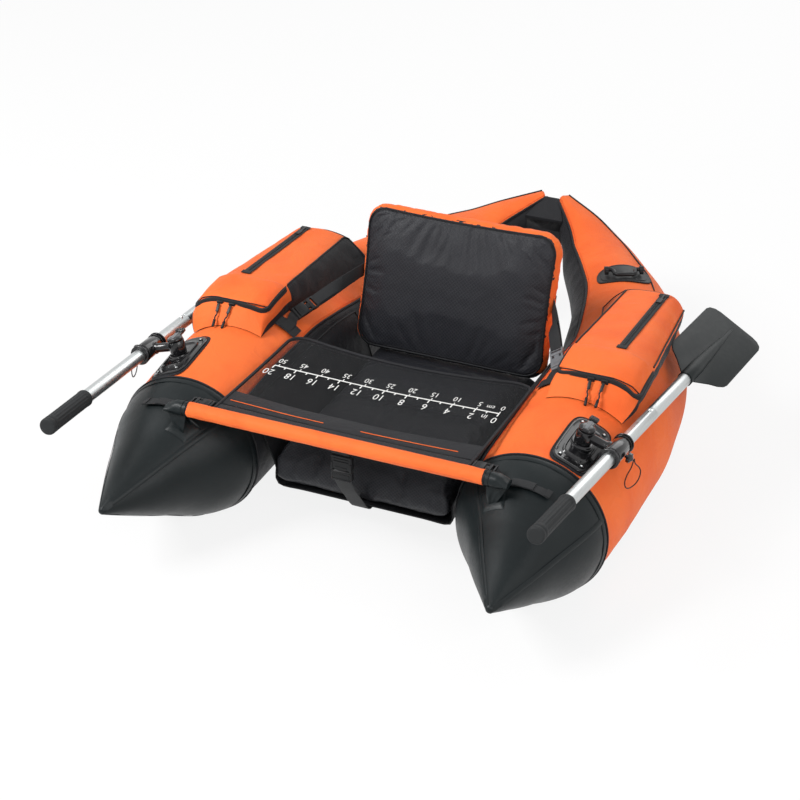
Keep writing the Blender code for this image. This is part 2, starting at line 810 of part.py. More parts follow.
def bow_strap(name, side, hull):
    """Webbing from the cone's shoulder to a buckle by the apron's front corner."""
    wide = Vector((0, STRAP_WIDTH / 2, 0))
    lift = FIT_GAP + STRAP_THICKNESS / 2
    angles = section_angles(BOW_STRAP_OUTER_ANGLE, 106)
    points = [skin(BOW_STRAP_Y, a, lift + RUNNING_GAP) for a in angles]
    slope = (skin(BOW_STRAP_Y + STRAP_WIDTH / 2, 90) - skin(BOW_STRAP_Y - STRAP_WIDTH / 2, 90)) / 2
    across = [Vector((0, slope.y, slope.z)) for _ in points]
    end = Vector((BOW_BUCKLE_X + BOW_BUCKLE_LENGTH / 2, BOW_STRAP_Y, BAR_Z))
    points.append(end)
    across.append(wide)
    strap = add(
        f"bow_strap_{name}", mirrored(ribbon(points, across, STRAP_THICKNESS), side), WEBBING, hull
    )
    axes = (Vector((1, 0, 0)), Vector((0, 1, 0)), UP)
    halves = (BOW_BUCKLE_LENGTH / 2, BOW_BUCKLE_WIDTH / 2, BOW_BUCKLE_THICKNESS / 2)
    centre = Vector((BOW_BUCKLE_X, BOW_STRAP_Y, BAR_Z))
    buckle = box_body(centre, axes, halves, BOW_BUCKLE_THICKNESS / 4)
    boolean(strap, mirrored(buckle, side), f"bow_buckle_{name}", hull, "UNION")


def crotch_strap(hull, release):
    """Upper webbing with the female half on the bar's middle; the male half draws out below."""
    hem = BAR_RADIUS + RUNNING_GAP + HEM_WALL
    y = CROTCH_BUCKLE_Y
    axes = (Vector((1, 0, 0)), Vector((0, 1, 0)), UP)
    top = CROTCH_BUCKLE_TOP_Z
    half_w, half_t = CROTCH_BUCKLE_WIDTH / 2, CROTCH_BUCKLE_THICKNESS / 2
    female_mid = Vector((0, y, top - CROTCH_FEMALE_HEIGHT / 2))
    female = box_body(
        female_mid, axes, (half_w, half_t, CROTCH_FEMALE_HEIGHT / 2), CROTCH_BUCKLE_THICKNESS / 5
    )
    upper = add("crotch_buckle_socket", female, BLACK_PLASTIC, hull)
    slot_half = (
        CROTCH_PRONG_WIDTH / 2 + RUNNING_GAP,
        CROTCH_PRONG_THICKNESS / 2 + RUNNING_GAP,
        (CROTCH_PRONG_LENGTH + CUT_OVERRUN) / 2,
    )
    bottom = top - CROTCH_FEMALE_HEIGHT
    slot_mid = Vector((0, y, bottom + CROTCH_PRONG_LENGTH / 2 + RUNNING_GAP - CUT_OVERRUN / 2))
    slot = box_body(slot_mid, axes, slot_half, RUNNING_GAP)
    boolean(upper, slot, "crotch_socket_slot", hull, "DIFFERENCE")

    side = Vector((CROTCH_STRAP_WIDTH / 2, 0, 0))
    bar_bottom = BAR_Z - hem - FIT_GAP - STRAP_THICKNESS / 2
    path = [
        Vector((0, y, top - CUT_OVERRUN)),
        Vector((0, y - STRAP_THICKNESS, top + CUT_OVERRUN)),
        Vector((0, BAR_Y + hem * 0.4, bar_bottom)),
        Vector((0, BAR_Y - hem * 0.3, bar_bottom)),
    ]
    strap = ribbon(path, [side] * len(path), STRAP_THICKNESS)
    boolean(upper, strap, "crotch_strap_upper", hull, "UNION")

    male_top = bottom - RUNNING_GAP
    male_mid = Vector((0, y, male_top - CROTCH_MALE_HEIGHT / 2))
    male = box_body(
        male_mid, axes, (half_w, half_t, CROTCH_MALE_HEIGHT / 2), CROTCH_BUCKLE_THICKNESS / 5
    )
    lower = add("crotch_buckle_prong", male, BLACK_PLASTIC, release)
    prong_half = (CROTCH_PRONG_WIDTH / 2, CROTCH_PRONG_THICKNESS / 2, CROTCH_PRONG_LENGTH / 2)
    prong_mid = Vector((0, y, male_top + CROTCH_PRONG_LENGTH / 2 - RUNNING_GAP * 2))
    prong = box_body(prong_mid, axes, prong_half, CROTCH_PRONG_THICKNESS / 4)
    boolean(lower, prong, "crotch_prong", release, "UNION")

    male_bottom = male_top - CROTCH_MALE_HEIGHT
    under = SEAT_BOTTOM_Z - RUNNING_GAP * 2 - SLING_WALL - STRAP_THICKNESS / 2
    below = male_bottom - RUNNING_GAP - STRAP_THICKNESS / 2
    edge = SLING_FRONT_Y - STRAP_THICKNESS * 3
    tail = [
        Vector((0, y, below)),
        Vector((0, y + (edge - y) * 0.55, under + (below - under) * 0.45)),
        Vector((0, edge - STRAP_THICKNESS * 9, under + STRAP_THICKNESS * 7)),
        Vector((0, edge, under)),
        Vector((0, SLING_FRONT_Y + STRAP_WIDTH * 2, under)),
    ]
    add("crotch_strap_tail", ribbon(tail, [side] * len(tail), STRAP_THICKNESS), WEBBING, hull)


def back_strap(name, side, hull, back):
    """Anchored webbing and buckle on the pontoon, and the strap from it to the backrest."""
    up, rearward = back_axes()
    grip = back_pivot_point() + up * (BACK_HEIGHT * BACK_STRAP_HEIGHT_SHARE)
    grip = grip + Vector((BACK_WIDTH / 2 - BACK_SIDE_DRAW * 0.4, 0, 0))
    stand = BACK_BUCKLE_THICKNESS / 2 + RUNNING_GAP
    centre = skin(BACK_BUCKLE_Y, BACK_BUCKLE_ANGLE, stand + BACK_BUCKLE_THICKNESS * 1.1)
    toward = (grip - centre).normalized()
    normal = skin(BACK_BUCKLE_Y, BACK_BUCKLE_ANGLE, stand) - skin(BACK_BUCKLE_Y, BACK_BUCKLE_ANGLE)
    wide = toward.cross(normal).normalized()
    over = wide.cross(toward).normalized()
    halves = (BACK_BUCKLE_LENGTH / 2, BACK_BUCKLE_WIDTH / 2, BACK_BUCKLE_THICKNESS / 2)
    buckle = box_body(centre, (toward, wide, over), halves, BACK_BUCKLE_THICKNESS / 4)
    anchored = add(f"back_buckle_{name}", mirrored(buckle, side), BLACK_PLASTIC, hull)
    half = STRAP_WIDTH / 2
    start = centre - toward * (BACK_BUCKLE_LENGTH / 2 - CUT_OVERRUN)
    anchor_y = BACK_BUCKLE_Y - BACK_BUCKLE_LENGTH / 2 - BACK_ANCHOR_LENGTH * 0.35
    seat_lift = FIT_GAP + STRAP_THICKNESS / 2
    anchor = skin(anchor_y, BACK_BUCKLE_ANGLE, seat_lift + STRAP_THICKNESS)
    far = skin(anchor_y - BACK_ANCHOR_LENGTH * 0.5, BACK_BUCKLE_ANGLE, seat_lift)
    tangent = (skin(anchor_y, BACK_BUCKLE_ANGLE - 9) - skin(anchor_y, BACK_BUCKLE_ANGLE + 9))
    tangent = Vector((tangent.x, 0, tangent.z)).normalized() * half
    facing = wide * (half if wide.dot(tangent) > 0 else -half)
    tail = ribbon([start, anchor, far], [facing, tangent * 0.8, tangent * 0.5], STRAP_THICKNESS)
    boolean(anchored, mirrored(tail, side), f"back_anchor_{name}", hull, "UNION")
    first = centre + toward * (BACK_BUCKLE_LENGTH / 2 + FIT_GAP)
    last = grip + Vector((FIT_GAP + STRAP_THICKNESS / 2, 0, 0))
    middle = first.lerp(last, 0.6) + Vector((STRAP_THICKNESS, 0, 0))
    end_side = up * half
    first_side = wide * (half if wide.dot(up) > 0 else -half)
    sides = [first_side, first_side.lerp(end_side, 0.7).normalized() * half, end_side, end_side]
    tip = last + rearward * STRAP_WIDTH * 0.7
    strap = ribbon([first, middle, last, tip], sides, STRAP_THICKNESS)
    add(f"back_strap_{name}", mirrored(strap, side), WEBBING, back)


# Cargo pocket


def pocket_top(y, outset=0.0):
    """The pocket's top section at this y, inner edge to outer edge, as (x, z)."""
    share = max(0.0, (y - POCKET_SEAM_Y) / (POCKET_REAR_Y - POCKET_SEAM_Y))
    z = POCKET_ZIP_Z - POCKET_FALL * share
    if y < POCKET_SEAM_Y:
        ahead = (POCKET_SEAM_Y - y) / (POCKET_SEAM_Y - POCKET_FACE_Y)
        z -= POCKET_FACE_DROP * ahead**2
    land = ZIP_LAND_WIDTH / 2
    inner = POCKET_INNER_X + POCKET_REAR_TAPER * share - outset
    outer = POCKET_OUTER_X - POCKET_OUTER_TAPER * share + outset
    return (
        (inner, z - POCKET_INNER_DROP),
        (inner + (POCKET_ZIP_X - inner) * 0.35, z - POCKET_INNER_DROP * 0.15),
        (POCKET_ZIP_X - land, z),
        (POCKET_ZIP_X + land, z),
        (POCKET_ZIP_X + (outer - POCKET_ZIP_X) * 0.75, z - POCKET_OUTER_DROP * 0.4),
        (outer, z - POCKET_OUTER_DROP),
    )


def pocket_floor(y, lift):
    """The pontoon's surface under the pocket, outer edge to inner edge."""
    angles = section_angles(POCKET_OUTER_ANGLE, POCKET_INNER_ANGLE)
    return [skin(y, a, lift) for a in angles]


def pocket_ring(y, drop, limit):
    floor_points = pocket_floor(y, POCKET_BED_GAP)
    top = [Vector((x, y, z - drop)) for x, z in pocket_top(y)]
    if limit is not None:
        for p in top:
            under = skin(y, 90, limit).z - (p.x - STATIONS[BELLY_STATION][0].x) ** 2 / PONTOON_RADIUS / 2
            p.z = min(p.z, under)
        top[0].x = max(top[0].x, floor_points[-1].x)
        top[-1].x = max(top[-1].x, floor_points[0].x)
    return floor_points + top


def cargo_pocket(name, side, hull):
    rim = FLAP_THICKNESS + FIT_GAP
    places = [
        (POCKET_FRONT_Y, 0.0, POCKET_TOE_RISE),
        (POCKET_FRONT_Y + (POCKET_FACE_Y - POCKET_FRONT_Y) * 0.35, 0.0, POCKET_TOE_RISE * 2.8),
        (POCKET_FACE_Y, rim, None),
        (POCKET_FACE_Y + (POCKET_SEAM_Y - POCKET_FACE_Y) * 0.45, rim, None),
        (POCKET_SEAM_Y - FIT_GAP, rim, None),
        (POCKET_SEAM_Y + FIT_GAP, 0.0, None),
    ]
    run = POCKET_REAR_Y - POCKET_SEAM_Y
    places.append((POCKET_SEAM_Y + run * 0.94, 0.0, None))
    places.append((POCKET_REAR_Y, POCKET_REAR_TAPER, None))
    places += [(y, rim, None) for y in station_ys(POCKET_FACE_Y, POCKET_SEAM_Y - FIT_GAP)]
    places += [(y, 0.0, None) for y in station_ys(POCKET_SEAM_Y + FIT_GAP, POCKET_REAR_Y)]
    places.sort(key=lambda place: place[0])
    rings = [pocket_ring(y, drop, limit) for y, drop, limit in places]
    pocket = add(f"cargo_pocket_{name}", mirrored(loft(rings), side), ORANGE, hull)

    def hollow(first, last, steps, open_top):
        rings = []
        for i in range(steps + 1):
            y = first + (last - first) * i / steps
            floor_points = pocket_floor(y, POCKET_BED_GAP + POCKET_WALL)[1:-1]
            low_out = floor_points[0].lerp(pocket_floor(y, POCKET_BED_GAP + POCKET_WALL)[0], 0.6)
            low_in = floor_points[-1].lerp(pocket_floor(y, POCKET_BED_GAP + POCKET_WALL)[-1], 0.6)
            top = pocket_top(y, -POCKET_WALL)
            lift = CUT_OVERRUN if open_top else -POCKET_WALL
            cap = [Vector((x, y, z + lift)) for x, z in top]
            rings.append([low_out, *floor_points, low_in, *cap])
        return mirrored(loft(rings), side)

    front = hollow(POCKET_FACE_Y + POCKET_WALL, POCKET_SEAM_Y - POCKET_WALL, 2, True)
    boolean(pocket, front, f"front_hollow_{name}", hull, "DIFFERENCE")
    main_rear = POCKET_SEAM_Y + run * 0.92
    main = hollow(POCKET_SEAM_Y + POCKET_WALL, main_rear, 3, False)
    boolean(pocket, main, f"main_hollow_{name}", hull, "DIFFERENCE")
    ends = slider_path()
    half = ZIP_SLIT_WIDTH / 2
    slot = []
    for p in ends:
        slot.append(
            [
                p + Vector((-half, 0, CUT_OVERRUN)),
                p + Vector((half, 0, CUT_OVERRUN)),
                p + Vector((half, 0, -POCKET_WALL * 2)),
                p + Vector((-half, 0, -POCKET_WALL * 2)),
            ]
        )
    boolean(pocket, mirrored(loft(slot), side), f"zip_slit_{name}", hull, "DIFFERENCE")


def slider_path():
    """The two ends of the main zip, on the pocket's top."""
    run = POCKET_REAR_Y - POCKET_SEAM_Y
    made = []
    for share in (0.06, 0.86):
        y = POCKET_SEAM_Y + run * share
        made.append(Vector((POCKET_ZIP_X, y, pocket_top(y)[2][1])))
    return made


def flap_pivot_point():
    return Vector((POCKET_ZIP_X, POCKET_SEAM_Y, POCKET_ZIP_Z + FIT_GAP))


def flap_axis():
    """The seam across the pocket, which falls outboard."""
    fall = POCKET_OUTER_DROP - POCKET_INNER_DROP
    return Vector((POCKET_OUTER_X - POCKET_INNER_X, 0, -fall)).normalized()


def pocket_flap(name, side, parent):
    """The front compartment's lid, with a short lip over the zip."""
    rows = [
        (POCKET_FACE_Y - FLAP_LIP, FLAP_LIP),
        (POCKET_FACE_Y - FLAP_LIP * 0.8, FLAP_LIP * 0.15),
        (POCKET_FACE_Y, 0.0),
        (POCKET_FACE_Y + (POCKET_SEAM_Y - POCKET_FACE_Y) * 0.45, 0.0),
        (POCKET_SEAM_Y - FIT_GAP * 3, 0.0),
    ]
    rows += [(y, 0.0) for y in station_ys(POCKET_FACE_Y, POCKET_SEAM_Y - FIT_GAP * 3)]
    rows.sort()
    outer, inner = [], []
    for y, drop in rows:
        section = pocket_top(max(y, POCKET_FACE_Y))
        outer.append([Vector((x, y, z - drop)) for x, z in section])
        depth = FLAP_THICKNESS if drop < FLAP_LIP else 0
        y_in = y + FLAP_THICKNESS * 0.5 if drop > 0 else y
        inner.append([Vector((x, y_in, z - drop - depth)) for x, z in section])
    body = mirrored(sheet(outer, inner), side)
    add(f"pocket_flap_{name}", body, ORANGE, parent)


def zip_slider(part_name, side, start, along, normal, parent):
    """A slider with its pull lying along the zip."""
    forward = along.normalized()
    wide = forward.cross(normal).normalized()
    over = wide.cross(forward).normalized()
    centre = start + over * (SLIDER_HEIGHT / 2 + FIT_GAP)
    halves = (SLIDER_LENGTH / 2, SLIDER_WIDTH / 2, SLIDER_HEIGHT / 2)
    body = box_body(centre, (forward, wide, over), halves, SLIDER_HEIGHT / 5)
    obj = add(part_name, mirrored(body, side), BLACK_PLASTIC, parent)
    reach = SLIDER_LENGTH / 2 + PULL_LENGTH / 2 - CUT_OVERRUN
    pull_mid = centre + forward * reach
    pull_halves = (PULL_LENGTH / 2, PULL_WIDTH / 2, PULL_THICKNESS / 2)
    pull = box_body(pull_mid, (forward, wide, over), pull_halves, PULL_THICKNESS / 4)
    boolean(obj, mirrored(pull, side), f"{part_name}_pull", parent, "UNION")


# Oarlock and oar


def lock_axis():
    a = math.radians(LOCK_TILT)
    return Vector((math.cos(a), 0, math.sin(a)))


def oar_direction():
    return Vector(OAR_BEHIND).normalized()


def lift_axis():
    """Level across the oar, pointing outboard from the post to the collar."""
    return oar_direction().cross(lock_axis()).normalized()


def post_base():
    return skin(LOCK_Y, LOCK_ANGLE, LOCK_PLATE_WALL + FIT_GAP)


def pin_point():
    """Where the post's axis meets the pivot pin's."""
    return post_base() + lock_axis() * LOCK_PIN_HEIGHT


def collar_centre():
    return pin_point() + lift_axis() * LOCK_REACH


def oar_point(distance, name=None):
    """A point of the oar's axis, this far behind its collar before the oar is drawn forward."""
    drawn = OAR_DRAWN[name] if name else 0
    return collar_centre() + oar_direction() * (distance - drawn)


def oarlock_base(name, side, hull):
    low, high = LOCK_PLATE_ANGLES
    angles = section_angles(low, high)
    half = LOCK_PLATE_LENGTH / 2
    inset = LOCK_PLATE_CORNER
    rows = [LOCK_Y - half, LOCK_Y - half + inset, LOCK_Y + half - inset, LOCK_Y + half]

    def row(y, lift):
        trimmed = y in (rows[0], rows[-1])
        trim = math.degrees(inset / PONTOON_RADIUS) * 0.8 if trimmed else 0
        return [
            skin(y, min(max(a, low + trim), high - trim), lift + RUNNING_GAP) for a in angles
        ]

    top = [row(y, LOCK_PLATE_WALL) for y in rows]
    bottom = [row(y, 0) for y in rows]
    base = add(f"oarlock_base_{name}", mirrored(sheet(top, bottom), side), GLOSS_BLACK, hull)
    axis = lock_axis()
    foot = post_base() - axis * LOCK_PLATE_WALL * 0.5
    boss_top = LOCK_BOSS_HEIGHT + LOCK_PLATE_WALL * 0.5
    profile = (
        (0, LOCK_BOSS_RADIUS * 0.6),
        (LOCK_PLATE_WALL * 0.6, LOCK_BOSS_RADIUS),
        (boss_top - LOCK_PLATE_WALL * 0.4, LOCK_BOSS_RADIUS),
        (boss_top, LOCK_POST_RADIUS * 1.5),
        (boss_top, LOCK_POST_RADIUS),
        (boss_top + LOCK_POST_HEIGHT - LOCK_PLATE_WALL / 2, LOCK_POST_RADIUS),
        (boss_top + LOCK_POST_HEIGHT, LOCK_POST_RADIUS * 0.8),
    )
    post = mirrored(turned(foot, axis, profile), side)
    boolean(base, post, f"oarlock_post_{name}", hull, "UNION")


def oarlock_swivel(name, side, parent):
    axis, reach_axis = lock_axis(), lift_axis()
    foot = post_base() + axis * (LOCK_BOSS_HEIGHT + RUNNING_GAP)
    top = foot + axis * LOCK_HUB_HEIGHT
    hub = pipe(foot, top, LOCK_HUB_RADIUS, LOCK_POST_RADIUS + RUNNING_GAP)
    swivel = add(f"oarlock_swivel_{name}", mirrored(hub, side), GLOSS_BLACK, parent)
    start = LOCK_POST_RADIUS + (LOCK_HUB_RADIUS - LOCK_POST_RADIUS) * 0.4
    shoulder = LOCK_REACH - COLLAR_RADIUS - RUNNING_GAP * 2
    profile = (
        (start, LOCK_ARM_RADIUS),
        (shoulder - LOCK_ARM_RADIUS * 0.4, LOCK_ARM_RADIUS),
        (shoulder, LUG_RADIUS * 0.9),
        (shoulder, PIVOT_PIN_RADIUS),
        (shoulder + PIVOT_PIN_LENGTH, PIVOT_PIN_RADIUS),
    )
    arm = mirrored(turned(pin_point(), reach_axis, profile), side)
    boolean(swivel, arm, f"swivel_arm_{name}", parent, "UNION")


def oar_collar(name, side, parent):
    """A split-look sleeve that grips the shaft, with a bored lug towards the swivel."""
    inner = SHAFT_RADIUS + FIT_GAP
    half = COLLAR_LENGTH / 2
    sleeve = pipe(oar_point(-half), oar_point(half), COLLAR_RADIUS, inner)
    collar = add(f"oar_collar_{name}", mirrored(sleeve, side), GLOSS_BLACK, parent)
    reach_axis = lift_axis()
    face = LOCK_REACH - COLLAR_RADIUS - RUNNING_GAP
    lug_profile = ((0, LUG_RADIUS), (COLLAR_RADIUS - inner * 0.55, LUG_RADIUS))
    lug = mirrored(turned(pin_point() + reach_axis * face, reach_axis, lug_profile), side)
    boolean(collar, lug, f"collar_lug_{name}", parent, "UNION")
    inside = pipe_core(inner, half)
    boolean(collar, mirrored(inside, side), f"collar_bore_{name}", parent, "DIFFERENCE")
    hole_start = pin_point() + reach_axis * (face - CUT_OVERRUN)
    hole_radius = PIVOT_PIN_RADIUS + RUNNING_GAP
    hole = ((0, hole_radius), (CUT_OVERRUN * 2 + PIVOT_PIN_LENGTH, hole_radius))
    bore = mirrored(turned(hole_start, reach_axis, hole, SMALL_SIDES), side)
    boolean(collar, bore, f"collar_pin_hole_{name}", parent, "DIFFERENCE")


def pipe_core(radius, half):
    start, end = oar_point(-half - CUT_OVERRUN), oar_point(half + CUT_OVERRUN)
    return turned(start, end - start, ((0, radius), ((end - start).length, radius)))


def knob_point():
    return collar_centre() + lift_axis() * (COLLAR_RADIUS + RUNNING_GAP)


def clamp_knob(name, side, parent):
    profile = (
        (0, KNOB_STEM_RADIUS),
        (KNOB_LENGTH * 0.3, KNOB_STEM_RADIUS),
        (KNOB_LENGTH * 0.35, KNOB_RADIUS),
        (KNOB_LENGTH * 0.85, KNOB_RADIUS),
        (KNOB_LENGTH, KNOB_RADIUS * 0.6),
        (KNOB_LENGTH + KNOB_NUB, KNOB_RADIUS * 0.3),
    )
    body = turned(knob_point(), lift_axis(), profile, SMALL_SIDES)
    add(f"clamp_knob_{name}", mirrored(body, side), GLOSS_BLACK, parent)


def oar(name, side, parent, button_parent):
    forward = oar_direction()

    def tube(start, end, outer, inner):
        return mirrored(pipe(oar_point(start, name), oar_point(end, name), outer, inner), side)

    bore = SHAFT_RADIUS - SHAFT_WALL
    front = tube(GRIP_FRONT + GRIP_CAP, FRONT_TUBE_REAR, SHAFT_RADIUS, bore)
    front_tube = add(f"oar_front_tube_{name}", front, ALUMINIUM, parent)
    rear_start = FRONT_TUBE_REAR - REAR_TUBE_INSERT
    rear_end = BLADE_NECK + BLADE_SOCKET_DEPTH
    _, over = frame_along(forward)
    slim = SLEEVE_TUBE_RADIUS
    step_at = FRONT_TUBE_REAR + FIT_GAP
    path = (
        (rear_start, slim),
        (step_at, slim),
        (step_at, SHAFT_RADIUS),
        (BLADE_NECK, SHAFT_RADIUS),
        (rear_end, SHAFT_RADIUS),
        (rear_end, slim - SHAFT_WALL),
        (rear_start, slim - SHAFT_WALL),
    )
    rings = [circle(oar_point(d, name), forward, r, ROUND_SIDES) for d, r in path]
    body = mirrored(loft(rings, closed_path=True), side)
    rear_tube = add(f"oar_rear_tube_{name}", body, ALUMINIUM, parent)

    snap = FRONT_TUBE_REAR - SNAP_AHEAD
    inner_face = slim - SHAFT_WALL - CUT_OVERRUN / 2
    outer_face = SHAFT_RADIUS + CUT_OVERRUN
    hole = ((0, SNAP_RADIUS + RUNNING_GAP), (outer_face - inner_face, SNAP_RADIUS + RUNNING_GAP))
    for obj, label in ((front_tube, "front"), (rear_tube, "rear")):
        cutter = turned(oar_point(snap, name) + over * inner_face, over, hole, SMALL_SIDES)
        boolean(obj, mirrored(cutter, side), f"snap_hole_{label}_{name}", parent, "DIFFERENCE")
    length = SHAFT_RADIUS + SNAP_PROUD - inner_face
    profile = ((0, SNAP_RADIUS), (length - SNAP_RADIUS * 0.5, SNAP_RADIUS), (length, SNAP_RADIUS * 0.6))
    button = turned(oar_point(snap, name) + over * inner_face, over, profile, SMALL_SIDES)
    add(f"snap_button_{name}", mirrored(button, side), ALUMINIUM, button_parent)

    grip_bore = SHAFT_RADIUS + FIT_GAP
    path = (
        (GRIP_FRONT, GRIP_RADIUS * 0.9),
        (GRIP_FRONT + GRIP_CAP * 0.5, GRIP_RADIUS),
        (GRIP_REAR, GRIP_RADIUS),
        (GRIP_REAR, grip_bore),
        (GRIP_FRONT + GRIP_CAP - FIT_GAP, grip_bore),
    )
    rings = [circle(oar_point(d, name), forward, r, ROUND_SIDES) for d, r in path]
    add(f"oar_grip_{name}", mirrored(loft(rings), side), BLACK_FOAM, parent)
    blade(name, side, parent)


def blade(name, side, parent):
    """A flat blade with a tapering spine that sockets over the shaft."""
    forward = oar_direction()
    level, over = frame_along(forward)
    outboard = -level if level.x < 0 else level
    tilt = math.radians(BLADE_TILT)
    wide = (outboard * math.cos(tilt) + over * math.sin(tilt)).normalized()
    normal = wide.cross(forward).normalized()
    w, corner = BLADE_HALF_WIDTH, BLADE_CORNER
    tip = BLADE_END
    shoulder = BLADE_FULL
    outline = [(BLADE_NECK + SHAFT_RADIUS, BLADE_NECK_RADIUS * 0.9)]
    for k in range(4):
        share = k / 3
        outline.append((shoulder - corner * (1 - share) * 1.6, w - corner * (1 - share) ** 2))
    for k in range(4):
        a = math.radians(90 * k / 3)
        outline.append(
            (tip - corner + corner * math.sin(a), w - corner + corner * math.cos(a))
        )
    half = BLADE_THICKNESS / 2
    loop = outline + [(d, -x) for d, x in reversed(outline)]
    faces = []
    for lift in (-half * 0.4, half * 0.4):
        faces.append([oar_point(d, name) + wide * x + normal * lift for d, x in loop])
    plate = mirrored(loft(faces), side)
    obj = add(f"oar_blade_{name}", plate, BLADE_GREEN, parent)
    spine = (
        (BLADE_NECK + FIT_GAP, BLADE_NECK_RADIUS),
        (BLADE_NECK + BLADE_SOCKET_DEPTH, BLADE_NECK_RADIUS),
        (BLADE_FULL + (BLADE_END - BLADE_FULL) * 0.3, BLADE_NECK_RADIUS * 0.7),
        (BLADE_END - corner, half * 0.8),
    )
    rings = [circle(oar_point(d, name), forward, r, ROUND_SIDES) for d, r in spine]
    boolean(obj, mirrored(loft(rings), side), f"blade_spine_{name}", parent, "UNION")
    socket = SHAFT_RADIUS + FIT_GAP
    depth = BLADE_NECK + BLADE_SOCKET_DEPTH + FIT_GAP
    path = ((BLADE_NECK - CUT_OVERRUN, socket), (depth, socket))
    rings = [circle(oar_point(d, name), forward, r, ROUND_SIDES) for d, r in path]
    boolean(obj, mirrored(loft(rings), side), f"blade_socket_{name}", parent, "DIFFERENCE")


def knob_lanyard(name, side, parent):
    """A soft loop that hangs beside the pontoon from the clamp knob's end."""
    step = LANYARD_DIAMETER
    start = knob_point() + lift_axis() * (KNOB_LENGTH + KNOB_NUB + step / 2 + FIT_GAP * 3)
    wide = Vector(LANYARD_PLANE).normalized()
    route = [start + wide * (a * step) - UP * (b * step) for a, b in LANYARD_SHAPE]
    curve = bpy.data.curves.new(f"knob_lanyard_{name}", "CURVE")
    curve.dimensions = "3D"
    curve.bevel_depth = step / 2
    curve.bevel_resolution = 2
    curve.use_fill_caps = True
    smooth = smooth_route(route, 3)
    spline = curve.splines.new("POLY")
    spline.points.add(len(smooth) - 1)
    origin = place_of(parent)
    for target, p in zip(spline.points, smooth):
        target.co = (*(at_side(p, side) - origin), 1)
    curve.materials.append(BLACK)
    obj = bpy.data.objects.new(f"knob_lanyard_{name}", curve)
    bpy.context.scene.collection.objects.link(obj)
    obj.parent = parent


def smooth_route(points, per_span):
    """Points along a smooth curve through the given ones."""
    made = []
    for i in range(len(points) - 1):
        a, b = points[max(i - 1, 0)], points[i]
        c, d = points[i + 1], points[min(i + 2, len(points) - 1)]
        for k in range(per_span):
            t = k / per_span
            made.append(
                0.5
                * (
                    2 * b
                    + (c - a) * t
                    + (2 * a - 5 * b + 4 * c - d) * t**2
                    + (3 * b - a - 3 * c + d) * t**3
                )
            )
    made.append(points[-1])
    return made


# Carry handle


def handle_directions():
    """Along and across the top of the pontoon's stern quarter, both level."""
    low, high = HANDLE_PATCH_ROWS[0][0], HANDLE_PATCH_ROWS[-1][0]
    run = ring_between(high, 90) - ring_between(low, 90)
    ahead = Vector((run.x, run.y, 0)).normalized()
    return ahead, ahead.cross(UP).normalized()


def handle_pivot_point():
    top = ring_between(STATIONS_TO_HANDLE, 90, POCKET_BED_GAP + HANDLE_PATCH_WALL)
    return top + UP * (HANDLE_EAR_RADIUS + RUNNING_GAP)


def handle_patch(name, side, hull):
    """An oval patch that follows the cover, with two bored ears for the bail."""
    low, high = HANDLE_PATCH_ANGLES
    angles = section_angles(low, high)
    last = len(angles) - 1

    def row(position, span, lift):
        first, final = 90 + (low - 90) * span, 90 + (high - 90) * span
        kept = [min(max(a, first + k), final - last + k) for k, a in enumerate(angles)]
        return [ring_between(position, a, lift) for a in kept]

    lift = POCKET_BED_GAP
    top = [row(t, span, lift + HANDLE_PATCH_WALL) for t, span in HANDLE_PATCH_ROWS]
    bottom = [row(t, span, lift) for t, span in HANDLE_PATCH_ROWS]
    patch = add(f"handle_patch_{name}", mirrored(sheet(top, bottom), side), GREY_PVC, hull)
    ahead, across = handle_directions()
    centre = handle_pivot_point()
    inner = HANDLE_SPAN / 2
    radius = HANDLE_EAR_RADIUS
    for label, direction in (("outer", 1), ("inner", -1)):
        face = centre + across * direction * (inner + RUNNING_GAP)
        ear = turned(
            face, across * direction, ((0, radius), (HANDLE_EAR_LENGTH, radius)), SMALL_SIDES
        )
        boolean(patch, mirrored(ear, side), f"handle_ear_{label}_{name}", hull, "UNION")
        tilt = math.radians(360 / SECTION_SIDES)
        normal = UP * math.cos(tilt) + across * direction * math.sin(tilt)
        tangent = normal.cross(ahead)
        corner = 90 - direction * 180 / SECTION_SIDES
        facet = ring_between(STATIONS_TO_HANDLE, corner, lift + HANDLE_PATCH_WALL / 2)
        middle = face + across * direction * HANDLE_EAR_LENGTH * 0.65
        half_height = (middle - facet).dot(normal) / 2
        pad = box_body(
            middle - normal * half_height,
            (tangent, ahead, normal),
            (HANDLE_EAR_LENGTH * 0.33, radius * 0.9, half_height),
            radius / 5,
        )
        boolean(patch, mirrored(pad, side), f"handle_pad_{label}_{name}", hull, "UNION")
        bore = ((-CUT_OVERRUN, HANDLE_PIN_RADIUS + RUNNING_GAP),)
        bore += ((HANDLE_PIN_LENGTH + RUNNING_GAP * 2, HANDLE_PIN_RADIUS + RUNNING_GAP),)
        hole = turned(face, across * direction, bore, SMALL_SIDES)
        boolean(patch, mirrored(hole, side), f"handle_bore_{label}_{name}", hull, "DIFFERENCE")


